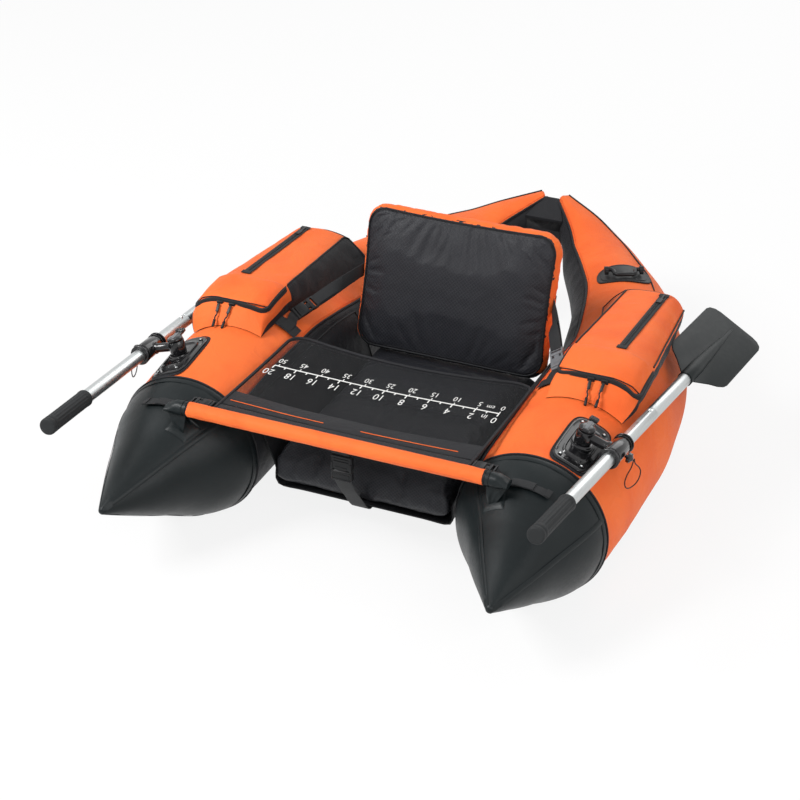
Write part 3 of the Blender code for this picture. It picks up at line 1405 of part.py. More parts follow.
def carry_handle(name, side, parent):
    """A bail whose pins turn in the patch's ears."""
    ahead, across = handle_directions()
    centre = handle_pivot_point()
    half = HANDLE_SPAN / 2
    bend = HANDLE_BAR_RADIUS * 2
    thin, thick = HANDLE_PIN_RADIUS, HANDLE_BAR_RADIUS
    side_path = (
        (half + HANDLE_PIN_LENGTH, 0, thin),
        (half, 0, thin),
        (half, 0, thick),
        (half - bend * 0.6, 0, thick),
        (half - bend, -bend * 0.6, thick),
        (half - bend * 1.1, -HANDLE_RISE + bend * 0.6, thick),
        (half - bend * 1.7, -HANDLE_RISE, thick),
    )
    path = [(centre + across * a + ahead * b, r) for a, b, r in side_path]
    path += [(centre - across * a + ahead * b, r) for a, b, r in reversed(side_path)]
    rings = []
    for i, (point, radius) in enumerate(path):
        low, high = max(i - 1, 0), min(i + 1, len(path) - 1)
        along = path[high][0] - path[low][0]
        if i in (1, 2, len(path) - 2, len(path) - 3):
            along = -across
        rings.append(circle(point, along, radius, SMALL_SIDES))
    add(f"carry_handle_{name}", mirrored(loft(rings), side), BLACK_PLASTIC, parent)


clear_scene()

ORANGE = material("orange_nylon", (0.91, 0.20, 0.045), 0.62)
BLACK = material("black_nylon", (0.012, 0.012, 0.014), 0.75)
BLACK_WEAVE = material("black_ripstop", (0.016, 0.017, 0.021), 0.6)
GREY_PVC = material("grey_pvc", (0.026, 0.033, 0.036), 0.42)
VINYL = material("bladder_vinyl", (0.55, 0.57, 0.60), 0.35)
MESH_FABRIC = material("mesh_fabric", (0.014, 0.015, 0.016), 0.8)
WEBBING = material("webbing", (0.010, 0.011, 0.012), 0.7)
BLACK_PLASTIC = material("black_plastic", (0.012, 0.013, 0.014), 0.4)
GLOSS_BLACK = material("gloss_black_plastic", (0.008, 0.008, 0.009), 0.16)
BLACK_FOAM = material("grip_rubber", (0.018, 0.020, 0.021), 0.7)
BLADE_GREEN = material("blade_plastic", (0.026, 0.036, 0.036), 0.45)
ALUMINIUM = material("aluminium", (0.72, 0.73, 0.74), 0.33, 1.0)


def build():
    tube = pivot("float_tube", ZERO)
    stern_gusset(tube)
    seat(tube)
    sling(tube)
    bar(tube)
    back = pivot("backrest_fold_axis", back_pivot_point(), tube)
    backrest(back)
    apron_fold = pivot("apron_fold_axis", Vector((0, BAR_Y, BAR_Z)), tube)
    bar_hem(apron_fold)
    apron(apron_fold)
    release = pivot("crotch_release_axis", Vector((0, BAR_Y, CROTCH_BUCKLE_TOP_Z)), tube)
    crotch_strap(tube, release)
    for name, side in SIDES:
        pontoon(name, side, tube)
        end_sleeve(name, side, tube)
        bow_strap(name, side, tube)
        back_strap(name, side, tube, back)
        cargo_pocket(name, side, tube)
        flap = pivot(f"flap_axis_{name}", at_side(flap_pivot_point(), side), tube)
        pocket_flap(name, side, flap)
        front_end, rear_end = slider_path()
        along = (front_end - rear_end).normalized()
        rest = rear_end + along * SLIDER_LENGTH
        main_zip = pivot(f"main_zip_axis_{name}", at_side(rest, side), tube)
        zip_slider(f"main_zip_slider_{name}", side, rest, -along, UP, main_zip)
        lock = pivot(f"oarlock_axis_{name}", at_side(post_base(), side), tube)
        oarlock_base(name, side, tube)
        oarlock_swivel(name, side, lock)
        lift = pivot(f"oar_lift_axis_{name}", at_side(pin_point(), side), lock)
        oar_collar(name, side, lift)
        snap_place = oar_point(FRONT_TUBE_REAR - SNAP_AHEAD, name)
        snap = pivot(f"snap_axis_{name}", at_side(snap_place, side), lift)
        oar(name, side, lift, snap)
        knob = pivot(f"knob_axis_{name}", at_side(knob_point(), side), lift)
        clamp_knob(name, side, knob)
        knob_lanyard(name, side, lift)
        grab = pivot(f"handle_axis_{name}", at_side(handle_pivot_point(), side), tube)
        handle_patch(name, side, tube)
        carry_handle(name, side, grab)
    return tube


def centre_on_floor(tube):
    """Puts the origin under the middle of the whole part, on the surface it stands on."""
    bpy.context.view_layer.update()
    graph = bpy.context.evaluated_depsgraph_get()
    low, high = None, None
    for obj in bpy.context.scene.collection.objects:
        if obj.type != "MESH" or obj.hide_render:
            continue
        made = obj.evaluated_get(graph)
        for corner in made.bound_box:
            y = (made.matrix_world @ Vector(corner)).y
            low = y if low is None else min(low, y)
            high = y if high is None else max(high, y)
    tube.location.y -= (low + high) / 2


centre_on_floor(build())
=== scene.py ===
"""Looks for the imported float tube: fabric, straps, trim, materials, light and camera.

Places are in the part's design frame, in metres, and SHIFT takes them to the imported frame.
The left side is modelled and the right side is its mirror image.
"""

import json
import math

import bmesh
import bpy
import numpy as np
from mathutils import Matrix, Vector, noise


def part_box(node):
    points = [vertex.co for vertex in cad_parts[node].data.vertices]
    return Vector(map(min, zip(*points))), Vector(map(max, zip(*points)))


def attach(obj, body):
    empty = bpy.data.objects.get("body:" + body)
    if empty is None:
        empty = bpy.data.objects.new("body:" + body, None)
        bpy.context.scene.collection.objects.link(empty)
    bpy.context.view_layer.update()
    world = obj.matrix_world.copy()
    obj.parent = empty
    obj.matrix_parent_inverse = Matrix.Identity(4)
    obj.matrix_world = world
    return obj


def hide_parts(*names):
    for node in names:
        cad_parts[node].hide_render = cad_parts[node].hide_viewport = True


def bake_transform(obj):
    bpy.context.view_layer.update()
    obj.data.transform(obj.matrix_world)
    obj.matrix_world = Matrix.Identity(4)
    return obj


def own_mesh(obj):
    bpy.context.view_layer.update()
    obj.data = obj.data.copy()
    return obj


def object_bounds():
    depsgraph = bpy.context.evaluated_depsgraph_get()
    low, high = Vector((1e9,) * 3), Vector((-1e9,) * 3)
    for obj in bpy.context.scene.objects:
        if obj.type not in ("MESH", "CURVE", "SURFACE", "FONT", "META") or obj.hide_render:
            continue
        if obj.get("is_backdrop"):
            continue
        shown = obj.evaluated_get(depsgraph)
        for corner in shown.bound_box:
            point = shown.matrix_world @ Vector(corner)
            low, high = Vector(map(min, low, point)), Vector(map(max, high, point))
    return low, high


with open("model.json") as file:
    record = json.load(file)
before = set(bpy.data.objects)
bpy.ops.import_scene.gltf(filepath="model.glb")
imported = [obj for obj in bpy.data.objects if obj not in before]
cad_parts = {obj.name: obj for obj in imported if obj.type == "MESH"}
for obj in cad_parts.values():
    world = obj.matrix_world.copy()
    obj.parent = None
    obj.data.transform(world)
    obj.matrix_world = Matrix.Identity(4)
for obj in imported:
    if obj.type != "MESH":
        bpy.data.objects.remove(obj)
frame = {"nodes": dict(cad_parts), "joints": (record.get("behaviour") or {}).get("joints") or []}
cad_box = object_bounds()

# Sizes repeated from the part's source

FIT_GAP = 0.0003
NOSE_Y = -0.536
NOSE_HEIGHT = 0.155
HULL_LENGTH = 1.491
PONTOON_SPREAD = 0.388
PONTOON_RADIUS = 0.166
STERN_LIFT = 0.266
HALF_FACET = math.radians(9)
STATION_SHARES = np.array(
    (
        (0.000, 1.072, 0.036, 0.0),
        (0.105, 1.029, 0.545, 0.0),
        (0.209, 0.988, 0.952, 0.0),
        (0.326, 1.000, 0.992, 0.0),
        (0.445, 1.000, 1.000, 0.0),
        (0.534, 0.974, 0.962, 0.0),
        (0.622, 0.933, 0.904, 0.0),
        (0.708, 0.842, 0.807, 0.139),
        (0.789, 0.724, 0.711, 0.250),
        (0.852, 0.577, 0.620, 0.353),
        (0.914, 0.410, 0.530, 0.459),
        (0.955, 0.262, 0.385, 0.690),
        (0.990, 0.070, 0.160, 1.050),
    )
)
BAR_Y, BAR_Z = -0.328, 0.310
HEM_RADIUS, HEM_HALF_LENGTH = 0.0151, 0.322
APRON_HALF_WIDTH = 0.279
APRON_FRONT_Y, APRON_REAR_Y, APRON_BOW = -0.3123, 0.068, 0.038
APRON_CORNER, APRON_Z, APRON_SAG = 0.035, 0.3005, 0.006
SEAT_HALF_WIDTH, SEAT_FRONT_Y, SEAT_REAR_Y = 0.196, -0.205, 0.325
SEAT_BOTTOM_Z, SEAT_TOP_Z = 0.0875, 0.190
SLING_FRONT_Y, SLING_REAR_Y, SLING_TOP_Z = -0.190, 0.305, 0.262
BACK_PIVOT = np.array((0, 0.279, 0.2153))
BACK_RECLINE = math.radians(15.6)
BACK_WIDTH, BACK_HEIGHT, BACK_THICKNESS, BACK_CORNER = 0.444, 0.322, 0.050, 0.045
STRAP_WIDTH, STRAP_THICKNESS = 0.025, 0.002
POCKET_FRONT_Y, POCKET_FACE_Y, POCKET_SEAM_Y, POCKET_REAR_Y = -0.004, 0.040, 0.136, 0.474
POCKET_INNER_X, POCKET_ZIP_X, POCKET_OUTER_X = 0.334, 0.436, 0.508
POCKET_ZIP_Z, POCKET_FALL = 0.384, 0.020
POCKET_INNER_DROP, POCKET_OUTER_DROP, POCKET_FACE_DROP = 0.009, 0.034, 0.012
POCKET_INNER_ANGLE, POCKET_OUTER_ANGLE = 112.0, 52.0
LOCK_Y, LOCK_MIDDLE, LOCK_TILT, LOCK_REACH = -0.136, 66.5, 75.0, 0.070
OAR_BEHIND = np.array((0.0527, 1.0, -0.0948))
OAR_DRAWN = {"left": 0.0, "right": 0.028}
COLLAR_RADIUS = 0.0195
GRIP_FRONT, GRIP_REAR, GRIP_RADIUS = -0.398, -0.250, 0.0172
KNOB_LENGTH, KNOB_NUB = 0.014, 0.0025
COVER_THICKNESS = 0.0012
OUTER_SEAM, INNER_SEAM = -45, 135
LID_SEAM_DROP, LID_SEAM_RUN = 0.0035, 0.012
SEAT_PLAIN_FROM = 0.78
RING_SIDES = 32
SIDES = (("left", 1), ("right", -1))
UP = np.array((0.0, 0.0, 1.0))

bar_low, bar_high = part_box("stabiliser_bar")
SHIFT = np.array((0, (bar_low.y + bar_high.y) / 2 - BAR_Y, 0))


def vec(x, y, z):
    return np.array((x, y, z), float)


def unit(v):
    v = np.asarray(v, float)
    return v / np.linalg.norm(v, axis=-1, keepdims=True)


def stacked(*parts):
    """Coordinates side by side; a plain number is repeated for every point."""
    return np.stack(np.broadcast_arrays(*parts), -1)


def noise_at(points, seed=0.0):
    """Smooth noise from -1 to 1 at each of the points."""
    flat = np.asarray(points, float).reshape(-1, 3)
    found = [noise.noise(Vector(p) + Vector((seed, -seed, seed * 0.7))) for p in flat]
    return np.array(found).reshape(np.asarray(points).shape[:-1])


# Pontoon surface


def pchip(xs, ys, x):
    """A smooth curve through the stations that doesn't overshoot them."""
    gap, slope = np.diff(xs), np.diff(ys) / np.diff(xs)
    turn = np.zeros(len(xs))
    turn[0], turn[-1] = slope[0], slope[-1]
    for i in range(1, len(xs) - 1):
        if slope[i - 1] * slope[i] > 0:
            a, b = 2 * gap[i] + gap[i - 1], gap[i] + 2 * gap[i - 1]
            turn[i] = (a + b) / (a / slope[i - 1] + b / slope[i])
    k = np.clip(np.searchsorted(xs, x) - 1, 0, len(gap) - 1)
    t = np.clip((x - xs[k]) / gap[k], 0, 1)
    h = gap[k]
    return (
        ys[k] * (1 + 2 * t) * (1 - t) ** 2
        + h * turn[k] * t * (1 - t) ** 2
        + ys[k + 1] * t**2 * (3 - 2 * t)
        + h * turn[k + 1] * t**2 * (t - 1)
    )


def read_stations():
    length, spread, radius, lift = STATION_SHARES.T
    ys = NOSE_Y + length * HULL_LENGTH
    xs = spread * PONTOON_SPREAD
    rs = radius * PONTOON_RADIUS
    zs = rs * math.cos(HALF_FACET) + lift * STERN_LIFT
    zs[0] = NOSE_HEIGHT + rs[0]
    zs[1] = (zs[0] + zs[2]) / 2
    headings = np.zeros(len(ys))
    for i in range(3, len(ys)):
        j = min(i + 1, len(ys) - 1)
        headings[i] = math.atan2(xs[i - 1] - xs[j], ys[j] - ys[i - 1])
    return ys, xs, zs, rs, headings


STATION_Y, STATION_X, STATION_Z, STATION_R, HEADINGS = read_stations()
CONE_BASE_Y, STERN_Y = STATION_Y[2], STATION_Y[-1]


def ring_at(centre_y, angle, lift=0.0):
    """The surface at this place of the centre line. Angles: 0 outboard, 90 top, 180 inboard."""
    centre_y, angle, lift = np.broadcast_arrays(
        np.asarray(centre_y, float), np.asarray(angle, float), np.asarray(lift, float)
    )
    a, heading = np.radians(angle), pchip(STATION_Y, HEADINGS, centre_y)
    reach = pchip(STATION_Y, STATION_R, centre_y) + lift
    x = pchip(STATION_Y, STATION_X, centre_y) + reach * np.cos(a) * np.cos(heading)
    y = centre_y + reach * np.cos(a) * np.sin(heading)
    z = pchip(STATION_Y, STATION_Z, centre_y) + reach * np.sin(a)
    return np.stack((x, y, np.maximum(z, 0.0005)), -1)


def skin(y, angle, lift=0.0):
    """The surface at this y of the point itself."""
    y, angle, lift = np.broadcast_arrays(
        np.asarray(y, float), np.asarray(angle, float), np.asarray(lift, float)
    )
    centre_y = y
    for _ in range(4):
        reach = pchip(STATION_Y, STATION_R, centre_y) + lift
        turn = np.sin(pchip(STATION_Y, HEADINGS, centre_y))
        centre_y = y - reach * np.cos(np.radians(angle)) * turn
    return ring_at(centre_y, angle, lift)


def at_station(position):
    return np.interp(position, np.arange(len(STATION_Y)), STATION_Y)


# Building pieces


def quads(high, wide, closed=False, looped=False):
    """Faces between rows; closed joins each row's ends, looped the last row to the first."""
    faces = []
    for i in range(high if looped else high - 1):
        k = (i + 1) % high
        for j in range(wide if closed else wide - 1):
            m = (j + 1) % wide
            faces.append((i * wide + j, i * wide + m, k * wide + m, k * wide + j))
    return faces


def caps(high, wide):
    """A face over the first row and one over the last."""
    return [tuple(range(wide))[::-1], tuple(range((high - 1) * wide, high * wide))]


def turns(count):
    return np.linspace(0, 2 * math.pi, count, endpoint=False)


def circle(direction, count, hint=UP):
    """Points one metre out from an axis, all round it."""
    side = unit(np.cross(direction, hint))
    over = np.cross(side, direction)
    return np.outer(np.cos(turns(count)), side) + np.outer(np.sin(turns(count)), over)


class Shape:
    """Collects the faces of one piece, each with its zone, and fabric coordinates in metres."""

    def __init__(self):
        self.points, self.cloth, self.faces, self.zones, self.count = [], [], [], [], 0

    def take(self, points, faces, zone=0, cloth=None):
        points = np.asarray(points, float).reshape(-1, 3)
        self.points.append(points)
        if cloth is None:
            cloth = points[:, :2]
        self.cloth.append(np.asarray(cloth, float).reshape(-1, 2))
        self.faces += [[i + self.count for i in face] for face in faces]
        self.zones += [zone] * len(faces) if np.isscalar(zone) else list(np.ravel(zone))
        self.count += len(points)
        return self

    def grid(self, rows, zone=0, closed=False, cloth=None):
        rows = np.asarray(rows, float)
        high, wide = rows.shape[:2]
        if cloth is None:
            over = np.linalg.norm(np.diff(rows, axis=1), axis=-1).mean(0)
            down = np.linalg.norm(np.diff(rows, axis=0), axis=-1).mean(1)
            u, v = np.append(0, np.cumsum(over)), np.append(0, np.cumsum(down))
            cloth = np.stack(np.meshgrid(u, v), -1)
        return self.take(rows, quads(high, wide, closed), zone, cloth)

    def fill(self, wide, *rows):
        """Closes these rows of a shape that is one grid so far."""
        for row in rows:
            self.faces.append([row * wide + k for k in range(wide)])
            self.zones.append(0)
        return self

    def tube(self, path, radius, sides=8, zone=0, closed=False):
        path = np.asarray(path, float)
        radius = np.broadcast_to(np.asarray(radius, float), len(path))
        if closed:
            ahead = np.roll(path, -1, 0) - np.roll(path, 1, 0)
        else:
            ahead = np.gradient(path, axis=0)
        ahead = unit(ahead)
        side = np.cross(ahead[0], UP if abs(ahead[0][2]) < 0.9 else (1, 0, 0))
        rings, cloth, run, turn = [], [], 0.0, turns(sides)
        for i, point in enumerate(path):
            side = unit(side - ahead[i] * np.dot(side, ahead[i]))
            over = np.cross(side, ahead[i])
            ring = np.outer(np.cos(turn), side) + np.outer(np.sin(turn), over)
            rings.append(point + ring * radius[i])
            run += np.linalg.norm(point - path[max(i - 1, 0)])
            cloth.append(np.stack((turn * radius[i], np.full(sides, run)), -1))
        faces = quads(len(path), sides, True, closed) + ([] if closed else caps(len(path), sides))
        return self.take(rings, faces, zone, cloth)

    def lathe(self, start, direction, profile, sides=40, zone=0, hint=UP):
        """A turned form from (distance along, radius) pairs."""
        ahead = unit(direction)
        ring = circle(ahead, sides, hint)
        rings = [np.asarray(start) + ahead * d + ring * max(r, 1e-5) for d, r in profile]
        return self.take(rings, quads(len(rings), sides, True) + caps(len(rings), sides), zone)

    def strap(self, path, across, thickness=STRAP_THICKNESS, zone=0):
        """Webbing with rounded edges along a path; across is half its width at each point."""
        path, across = np.asarray(path, float), np.asarray(across, float)
        across = np.broadcast_to(across, path.shape)
        ahead = np.gradient(path, axis=0)
        lift = unit(np.cross(ahead, across)) * thickness / 2
        run = np.append(0, np.cumsum(np.linalg.norm(np.diff(path, axis=0), axis=1)))
        section = ((1, 0), (0.97, 0.8), (0.9, 1), (0, 1), (-0.9, 1), (-0.97, 0.8))
        section += tuple((-a, -b) for a, b in section)
        rings = [path + across * a + lift * b for a, b in section]
        rings = np.stack(rings, 1)
        half = np.linalg.norm(across, axis=1)
        cloth = np.stack([np.stack((half * a, run), -1) for a, _ in section], 1)
        count, sides = rings.shape[:2]
        faces = [(a, d, c, b) for a, b, c, d in quads(count, sides, True)]
        faces += [face[::-1] for face in caps(count, sides)]
        return self.take(rings, faces, zone, cloth)

    def block(self, centre, axes, halves, bevel, zone=0, segments=3):
        """A bevelled block on three square axes."""
        bm = bmesh.new()
        bmesh.ops.create_cube(bm, size=2)
        axes = [Vector(a) * h for a, h in zip(axes, halves)]
        place = Matrix([[*(a[k] for a in axes), centre[k]] for k in range(3)])
        place.resize_4x4()
        bmesh.ops.transform(bm, matrix=place, verts=bm.verts)
        bmesh.ops.bevel(
            bm, geom=bm.edges, offset=bevel, segments=segments, profile=0.5, affect="EDGES"
        )
        bm.verts.ensure_lookup_table()
        points = [tuple(v.co) for v in bm.verts]
        faces = [[v.index for v in face.verts] for face in bm.faces]
        bm.free()
        return self.take(points, faces, zone)

    def make(self, name, side, finishes, body, slot=None, stands_for=(), sharp=60.0, turn=True):
        """One object of all that was collected; turn makes its faces look outwards."""
        points = np.concatenate(self.points) * (side, 1, 1) + SHIFT
        faces = self.faces if side > 0 else [face[::-1] for face in self.faces]
        mesh = bpy.data.meshes.new(name)
        mesh.from_pydata(points.tolist(), [], faces)
        cloth = np.concatenate(self.cloth)
        kept = mesh.attributes.new("cloth", "FLOAT_VECTOR", "POINT")
        kept.data.foreach_set("vector", np.pad(cloth, ((0, 0), (0, 1))).ravel())
        for finish in finishes if isinstance(finishes, (list, tuple)) else [finishes]:
            mesh.materials.append(finish)
        mesh.polygons.foreach_set("material_index", self.zones)
        mesh.shade_smooth()
        mesh.set_sharp_from_angle(angle=math.radians(sharp))
        mesh.update()
        obj = bpy.data.objects.new(name, mesh)
        bpy.context.scene.collection.objects.link(obj)
        if turn:
            outward(obj)
        if body:
            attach(obj, body)
        if stands_for:
            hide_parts(*([stands_for] if isinstance(stands_for, str) else stands_for))
        return obj


def outward(obj):
    """Turns the faces of a closed mesh outwards."""
    bm = bmesh.new()
    bm.from_mesh(obj.data)
    bmesh.ops.recalc_face_normals(bm, faces=bm.faces)
    bm.to_mesh(obj.data)
    bm.free()
    return obj


def thicken(obj, thickness):
    modifier = obj.modifiers.new("thickness", "SOLIDIFY")
    modifier.thickness, modifier.offset = thickness, -1.0


def evaluated_mesh(obj):
    """A new mesh of the object with its modifiers applied."""
    bpy.context.view_layer.update()
    graph = bpy.context.evaluated_depsgraph_get()
    return bpy.data.meshes.new_from_object(obj.evaluated_get(graph))


def points_of(mesh):
    return np.array([v.co for v in mesh.vertices])


def normals_of(mesh):
    return np.array([v.normal for v in mesh.vertices])


def move_points(mesh, points):
    mesh.vertices.foreach_set("co", points.ravel())
    mesh.update()


def curve_through(points, per_span=6):
    """Points along a smooth curve through the given ones."""
    points = np.asarray(points, float)
    made = []
    for i in range(len(points) - 1):
        a, b = points[max(i - 1, 0)], points[i]
        c, d = points[i + 1], points[min(i + 2, len(points) - 1)]
        square, cube = 2 * a - 5 * b + 4 * c - d, 3 * b - a - 3 * c + d
        for t in np.arange(per_span) / per_span:
            made.append(0.5 * (2 * b + (c - a) * t + square * t**2 + cube * t**3))
    return np.array(made + [points[-1]])


def resampled(path, count):
    path = np.asarray(path, float)
    run = np.append(0, np.cumsum(np.linalg.norm(np.diff(path, axis=0), axis=1)))
    at = np.linspace(0, run[-1], count)
    return np.stack([np.interp(at, run, path[:, k]) for k in range(3)], -1)


# Materials

ONE_WAVE = 0.318


class Nodes:
    """A small helper that wires a material's nodes."""

    def __init__(self, name, roughness, metallic=0.0, **uniform):
        self.made = bpy.data.materials.new(name)
        self.made.use_nodes = True
        self.tree = self.made.node_tree
        self.shader = self.tree.nodes["Principled BSDF"]
        self.shader.inputs["Roughness"].default_value = roughness
        self.shader.inputs["Metallic"].default_value = metallic
        for key, value in uniform.items():
            self.shader.inputs[key.replace("_", " ")].default_value = value

    def node(self, kind, inputs=None, **settings):
        made = self.tree.nodes.new(kind)
        for key, value in settings.items():
            setattr(made, key, value)
        for key, value in (inputs or {}).items():
            if isinstance(value, bpy.types.NodeSocket):
                self.tree.links.new(value, made.inputs[key])
            else:
                made.inputs[key].default_value = value
        return made

    def cloth(self, scale=1.0, turn=0.0):
        """The piece's fabric coordinates, in metres times a scale."""
        found = self.node("ShaderNodeAttribute", attribute_name="cloth").outputs["Vector"]
        return self.mapped(found, scale, turn)

    def place(self, scale=1.0, turn=0.0):
        found = self.node("ShaderNodeTexCoord").outputs["Object"]
        return self.mapped(found, scale, turn)

    def mapped(self, socket, scale, turn):
        scale = (scale, scale, scale) if np.isscalar(scale) else scale
        inputs = {"Vector": socket, "Scale": scale, "Rotation": (0, 0, math.radians(turn))}
        return self.node("ShaderNodeMapping", inputs).outputs["Vector"]

    def maths(self, operation, a, b=0.0):
        node = self.node("ShaderNodeMath", operation=operation)
        for socket, value in zip(node.inputs, (a, b)):
            if isinstance(value, bpy.types.NodeSocket):
                self.tree.links.new(value, socket)
            else:
                socket.default_value = value
        return node.outputs[0]

    def noise(self, vector, scale, detail=3.0, distortion=0.0):
        inputs = {"Vector": vector, "Scale": scale, "Detail": detail, "Distortion": distortion}
        return self.node("ShaderNodeTexNoise", inputs).outputs["Fac"]

    def wave(self, vector, scale, direction="X", profile="SIN"):
        inputs = {"Vector": vector, "Scale": scale}
        return self.node(
            "ShaderNodeTexWave", inputs, bands_direction=direction, wave_profile=profile
        ).outputs["Fac"]

    def between(self, factor, low, high, from_low=0.0, from_high=1.0):
        inputs = {"Value": factor, "From Min": from_low, "From Max": from_high}
        inputs.update({"To Min": low, "To Max": high})
        return self.node("ShaderNodeMapRange", inputs).outputs["Result"]

    def mix(self, factor, a, b):
        node = self.node("ShaderNodeMix", data_type="RGBA")
        for socket, value in zip((node.inputs[0], node.inputs[6], node.inputs[7]), (factor, a, b)):
            if isinstance(value, bpy.types.NodeSocket):
                self.tree.links.new(value, socket)
            elif np.isscalar(value):
                socket.default_value = value
            else:
                socket.default_value = (*value, 1)
        return node.outputs[2]

    def bump(self, height, distance, below=None):
        inputs = {"Height": height, "Distance": distance, "Strength": 1.0}
        if below is not None:
            inputs["Normal"] = below
        return self.node("ShaderNodeBump", inputs).outputs["Normal"]

    def out(self, colour=None, normal=None, roughness=None, alpha=None):
        for key, socket in (
            ("Base Color", colour),
            ("Normal", normal),
            ("Roughness", roughness),
            ("Alpha", alpha),
        ):
            if socket is not None:
                self.tree.links.new(socket, self.shader.inputs[key])
        return self.made


def weave(nodes, pitch, depth, below=None):
    """Over and under threads at this pitch, as a bump."""
    across = nodes.wave(nodes.cloth(1 / pitch), ONE_WAVE, "X")
    along = nodes.wave(nodes.cloth(1 / pitch), ONE_WAVE, "Y")
    return nodes.bump(nodes.maths("MULTIPLY", across, along), depth, below)


def nylon(name, colour, shade, roughness=0.6, wrinkle=0.0024):
    """Coated nylon: fine weave, broad tone changes and soft creases."""
    nodes = Nodes(name, roughness, Sheen_Weight=0.03, Sheen_Roughness=0.45, Specular_IOR_Level=0.18)
    broad = nodes.noise(nodes.place(1.0), 7.0, 4.0, 0.6)
    fine = nodes.noise(nodes.cloth((900, 900, 1)), 1.0, 2.0)
    tone = nodes.mix(nodes.between(broad, 0.0, 1.0, 0.42, 0.72), colour, shade)
    thread = tuple(min(1.0, c * 1.18) for c in colour)
    tone = nodes.mix(nodes.between(fine, 0.0, 0.3, 0.4, 0.8), tone, thread)
    crease = nodes.noise(nodes.place(1.0), 17.0, 4.0, 2.2)
    normal = weave(nodes, 0.0011, 0.00012, nodes.bump(crease, wrinkle))
    rough = nodes.between(fine, roughness - 0.08, roughness + 0.08)
    return nodes.out(tone, normal, rough)


def ripstop(name, colour, shade, roughness=0.42, pitch=0.0062):
    """Woven panel cloth with a diamond grid of raised double threads."""
    nodes = Nodes(name, roughness, Sheen_Weight=0.02, Sheen_Roughness=0.4, Specular_IOR_Level=0.25)
    turned = nodes.cloth(1 / pitch, 45)
    lines = nodes.maths(
        "MAXIMUM",
        nodes.between(nodes.wave(turned, ONE_WAVE, "X"), 0.0, 1.0, 0.86, 0.97),
        nodes.between(nodes.wave(turned, ONE_WAVE, "Y"), 0.0, 1.0, 0.86, 0.97),
    )
    broad = nodes.noise(nodes.place(1.0), 9.0, 3.0, 0.5)
    tone = nodes.mix(nodes.between(broad, 0.0, 1.0, 0.35, 0.7), colour, shade)
    light = tuple(min(1.0, c * 1.7 + 0.006) for c in colour)
    tone = nodes.mix(nodes.maths("MULTIPLY", lines, 0.55), tone, light)
    crease = nodes.noise(nodes.place(1.0), 18.0, 4.0, 0.8)
    normal = weave(nodes, 0.0009, 0.0001, nodes.bump(crease, 0.0012))
    normal = nodes.bump(lines, 0.0004, normal)
    return nodes.out(tone, normal, nodes.between(broad, roughness - 0.08, roughness + 0.1))


def coated(name, colour, shade, roughness=0.36):
    """PVC-coated cloth: satin, with the weave only just showing through."""
    nodes = Nodes(name, roughness, Specular_IOR_Level=0.22)
    broad = nodes.noise(nodes.place(1.0), 5.0, 4.0, 0.4)
    scuff = nodes.noise(nodes.place(1.0), 160.0, 5.0, 0.2)
    tone = nodes.mix(nodes.between(broad, 0.0, 1.0, 0.35, 0.75), colour, shade)
    pale = tuple(c * 1.6 + 0.006 for c in colour)
    tone = nodes.mix(nodes.between(scuff, 0.0, 0.35, 0.6, 0.85), tone, pale)
    crease = nodes.noise(nodes.place(1.0), 14.0, 3.0, 0.6)
    normal = weave(nodes, 0.0016, 0.00008, nodes.bump(crease, 0.0011))
    return nodes.out(tone, normal, nodes.between(scuff, roughness - 0.06, roughness + 0.12))


def webbing(name, colour):
    """Polyester webbing: chevron ribs along its length."""
    nodes = Nodes(name, 0.62, Sheen_Weight=0.03, Sheen_Roughness=0.4, Specular_IOR_Level=0.2)
    ribs = nodes.wave(nodes.cloth((1 / 0.0021, 1 / 0.0016, 1)), ONE_WAVE, "DIAGONAL")
    cross = nodes.wave(nodes.cloth((1 / 0.0035, 1, 1)), ONE_WAVE, "X")
    height = nodes.maths("ADD", ribs, nodes.maths("MULTIPLY", cross, 0.6))
    light = tuple(c * 2.2 + 0.01 for c in colour)
    tone = nodes.mix(nodes.maths("MULTIPLY", ribs, 0.5), colour, light)
    return nodes.out(tone, nodes.bump(height, 0.00035))


def moulded(name, colour, roughness, gloss=0.0):
    """Moulded plastic with a fine grain and rubbed highlights."""
    nodes = Nodes(name, roughness, Coat_Weight=gloss, Coat_Roughness=0.08, Specular_IOR_Level=0.22)
    grain = nodes.noise(nodes.place(1.0), 700.0, 3.0)
    scuff = nodes.noise(nodes.place(1.0), 55.0, 6.0, 0.7)
    pale = tuple(c * 1.5 + 0.004 for c in colour)
    tone = nodes.mix(nodes.between(scuff, 0.0, 0.5, 0.55, 0.8), colour, pale)
    rough = nodes.between(scuff, roughness - 0.05, roughness + 0.12)
    return nodes.out(tone, nodes.bump(grain, 0.00006), rough)


def brushed(name, colour):
    """Anodised tube: fine draw lines along it and faint scratches."""
    nodes = Nodes(name, 0.36, 1.0)
    lines = nodes.noise(nodes.place((900, 12, 900)), 1.0, 4.0)
    scratch = nodes.noise(nodes.place((60, 260, 60)), 1.0, 5.0, 0.4)
    dull = tuple(c * 0.82 for c in colour)
    tone = nodes.mix(nodes.between(lines, 0.0, 0.6, 0.4, 0.7), colour, dull)
    rough = nodes.between(scratch, 0.30, 0.48, 0.3, 0.75)
    return nodes.out(tone, nodes.bump(lines, 0.00004), rough)


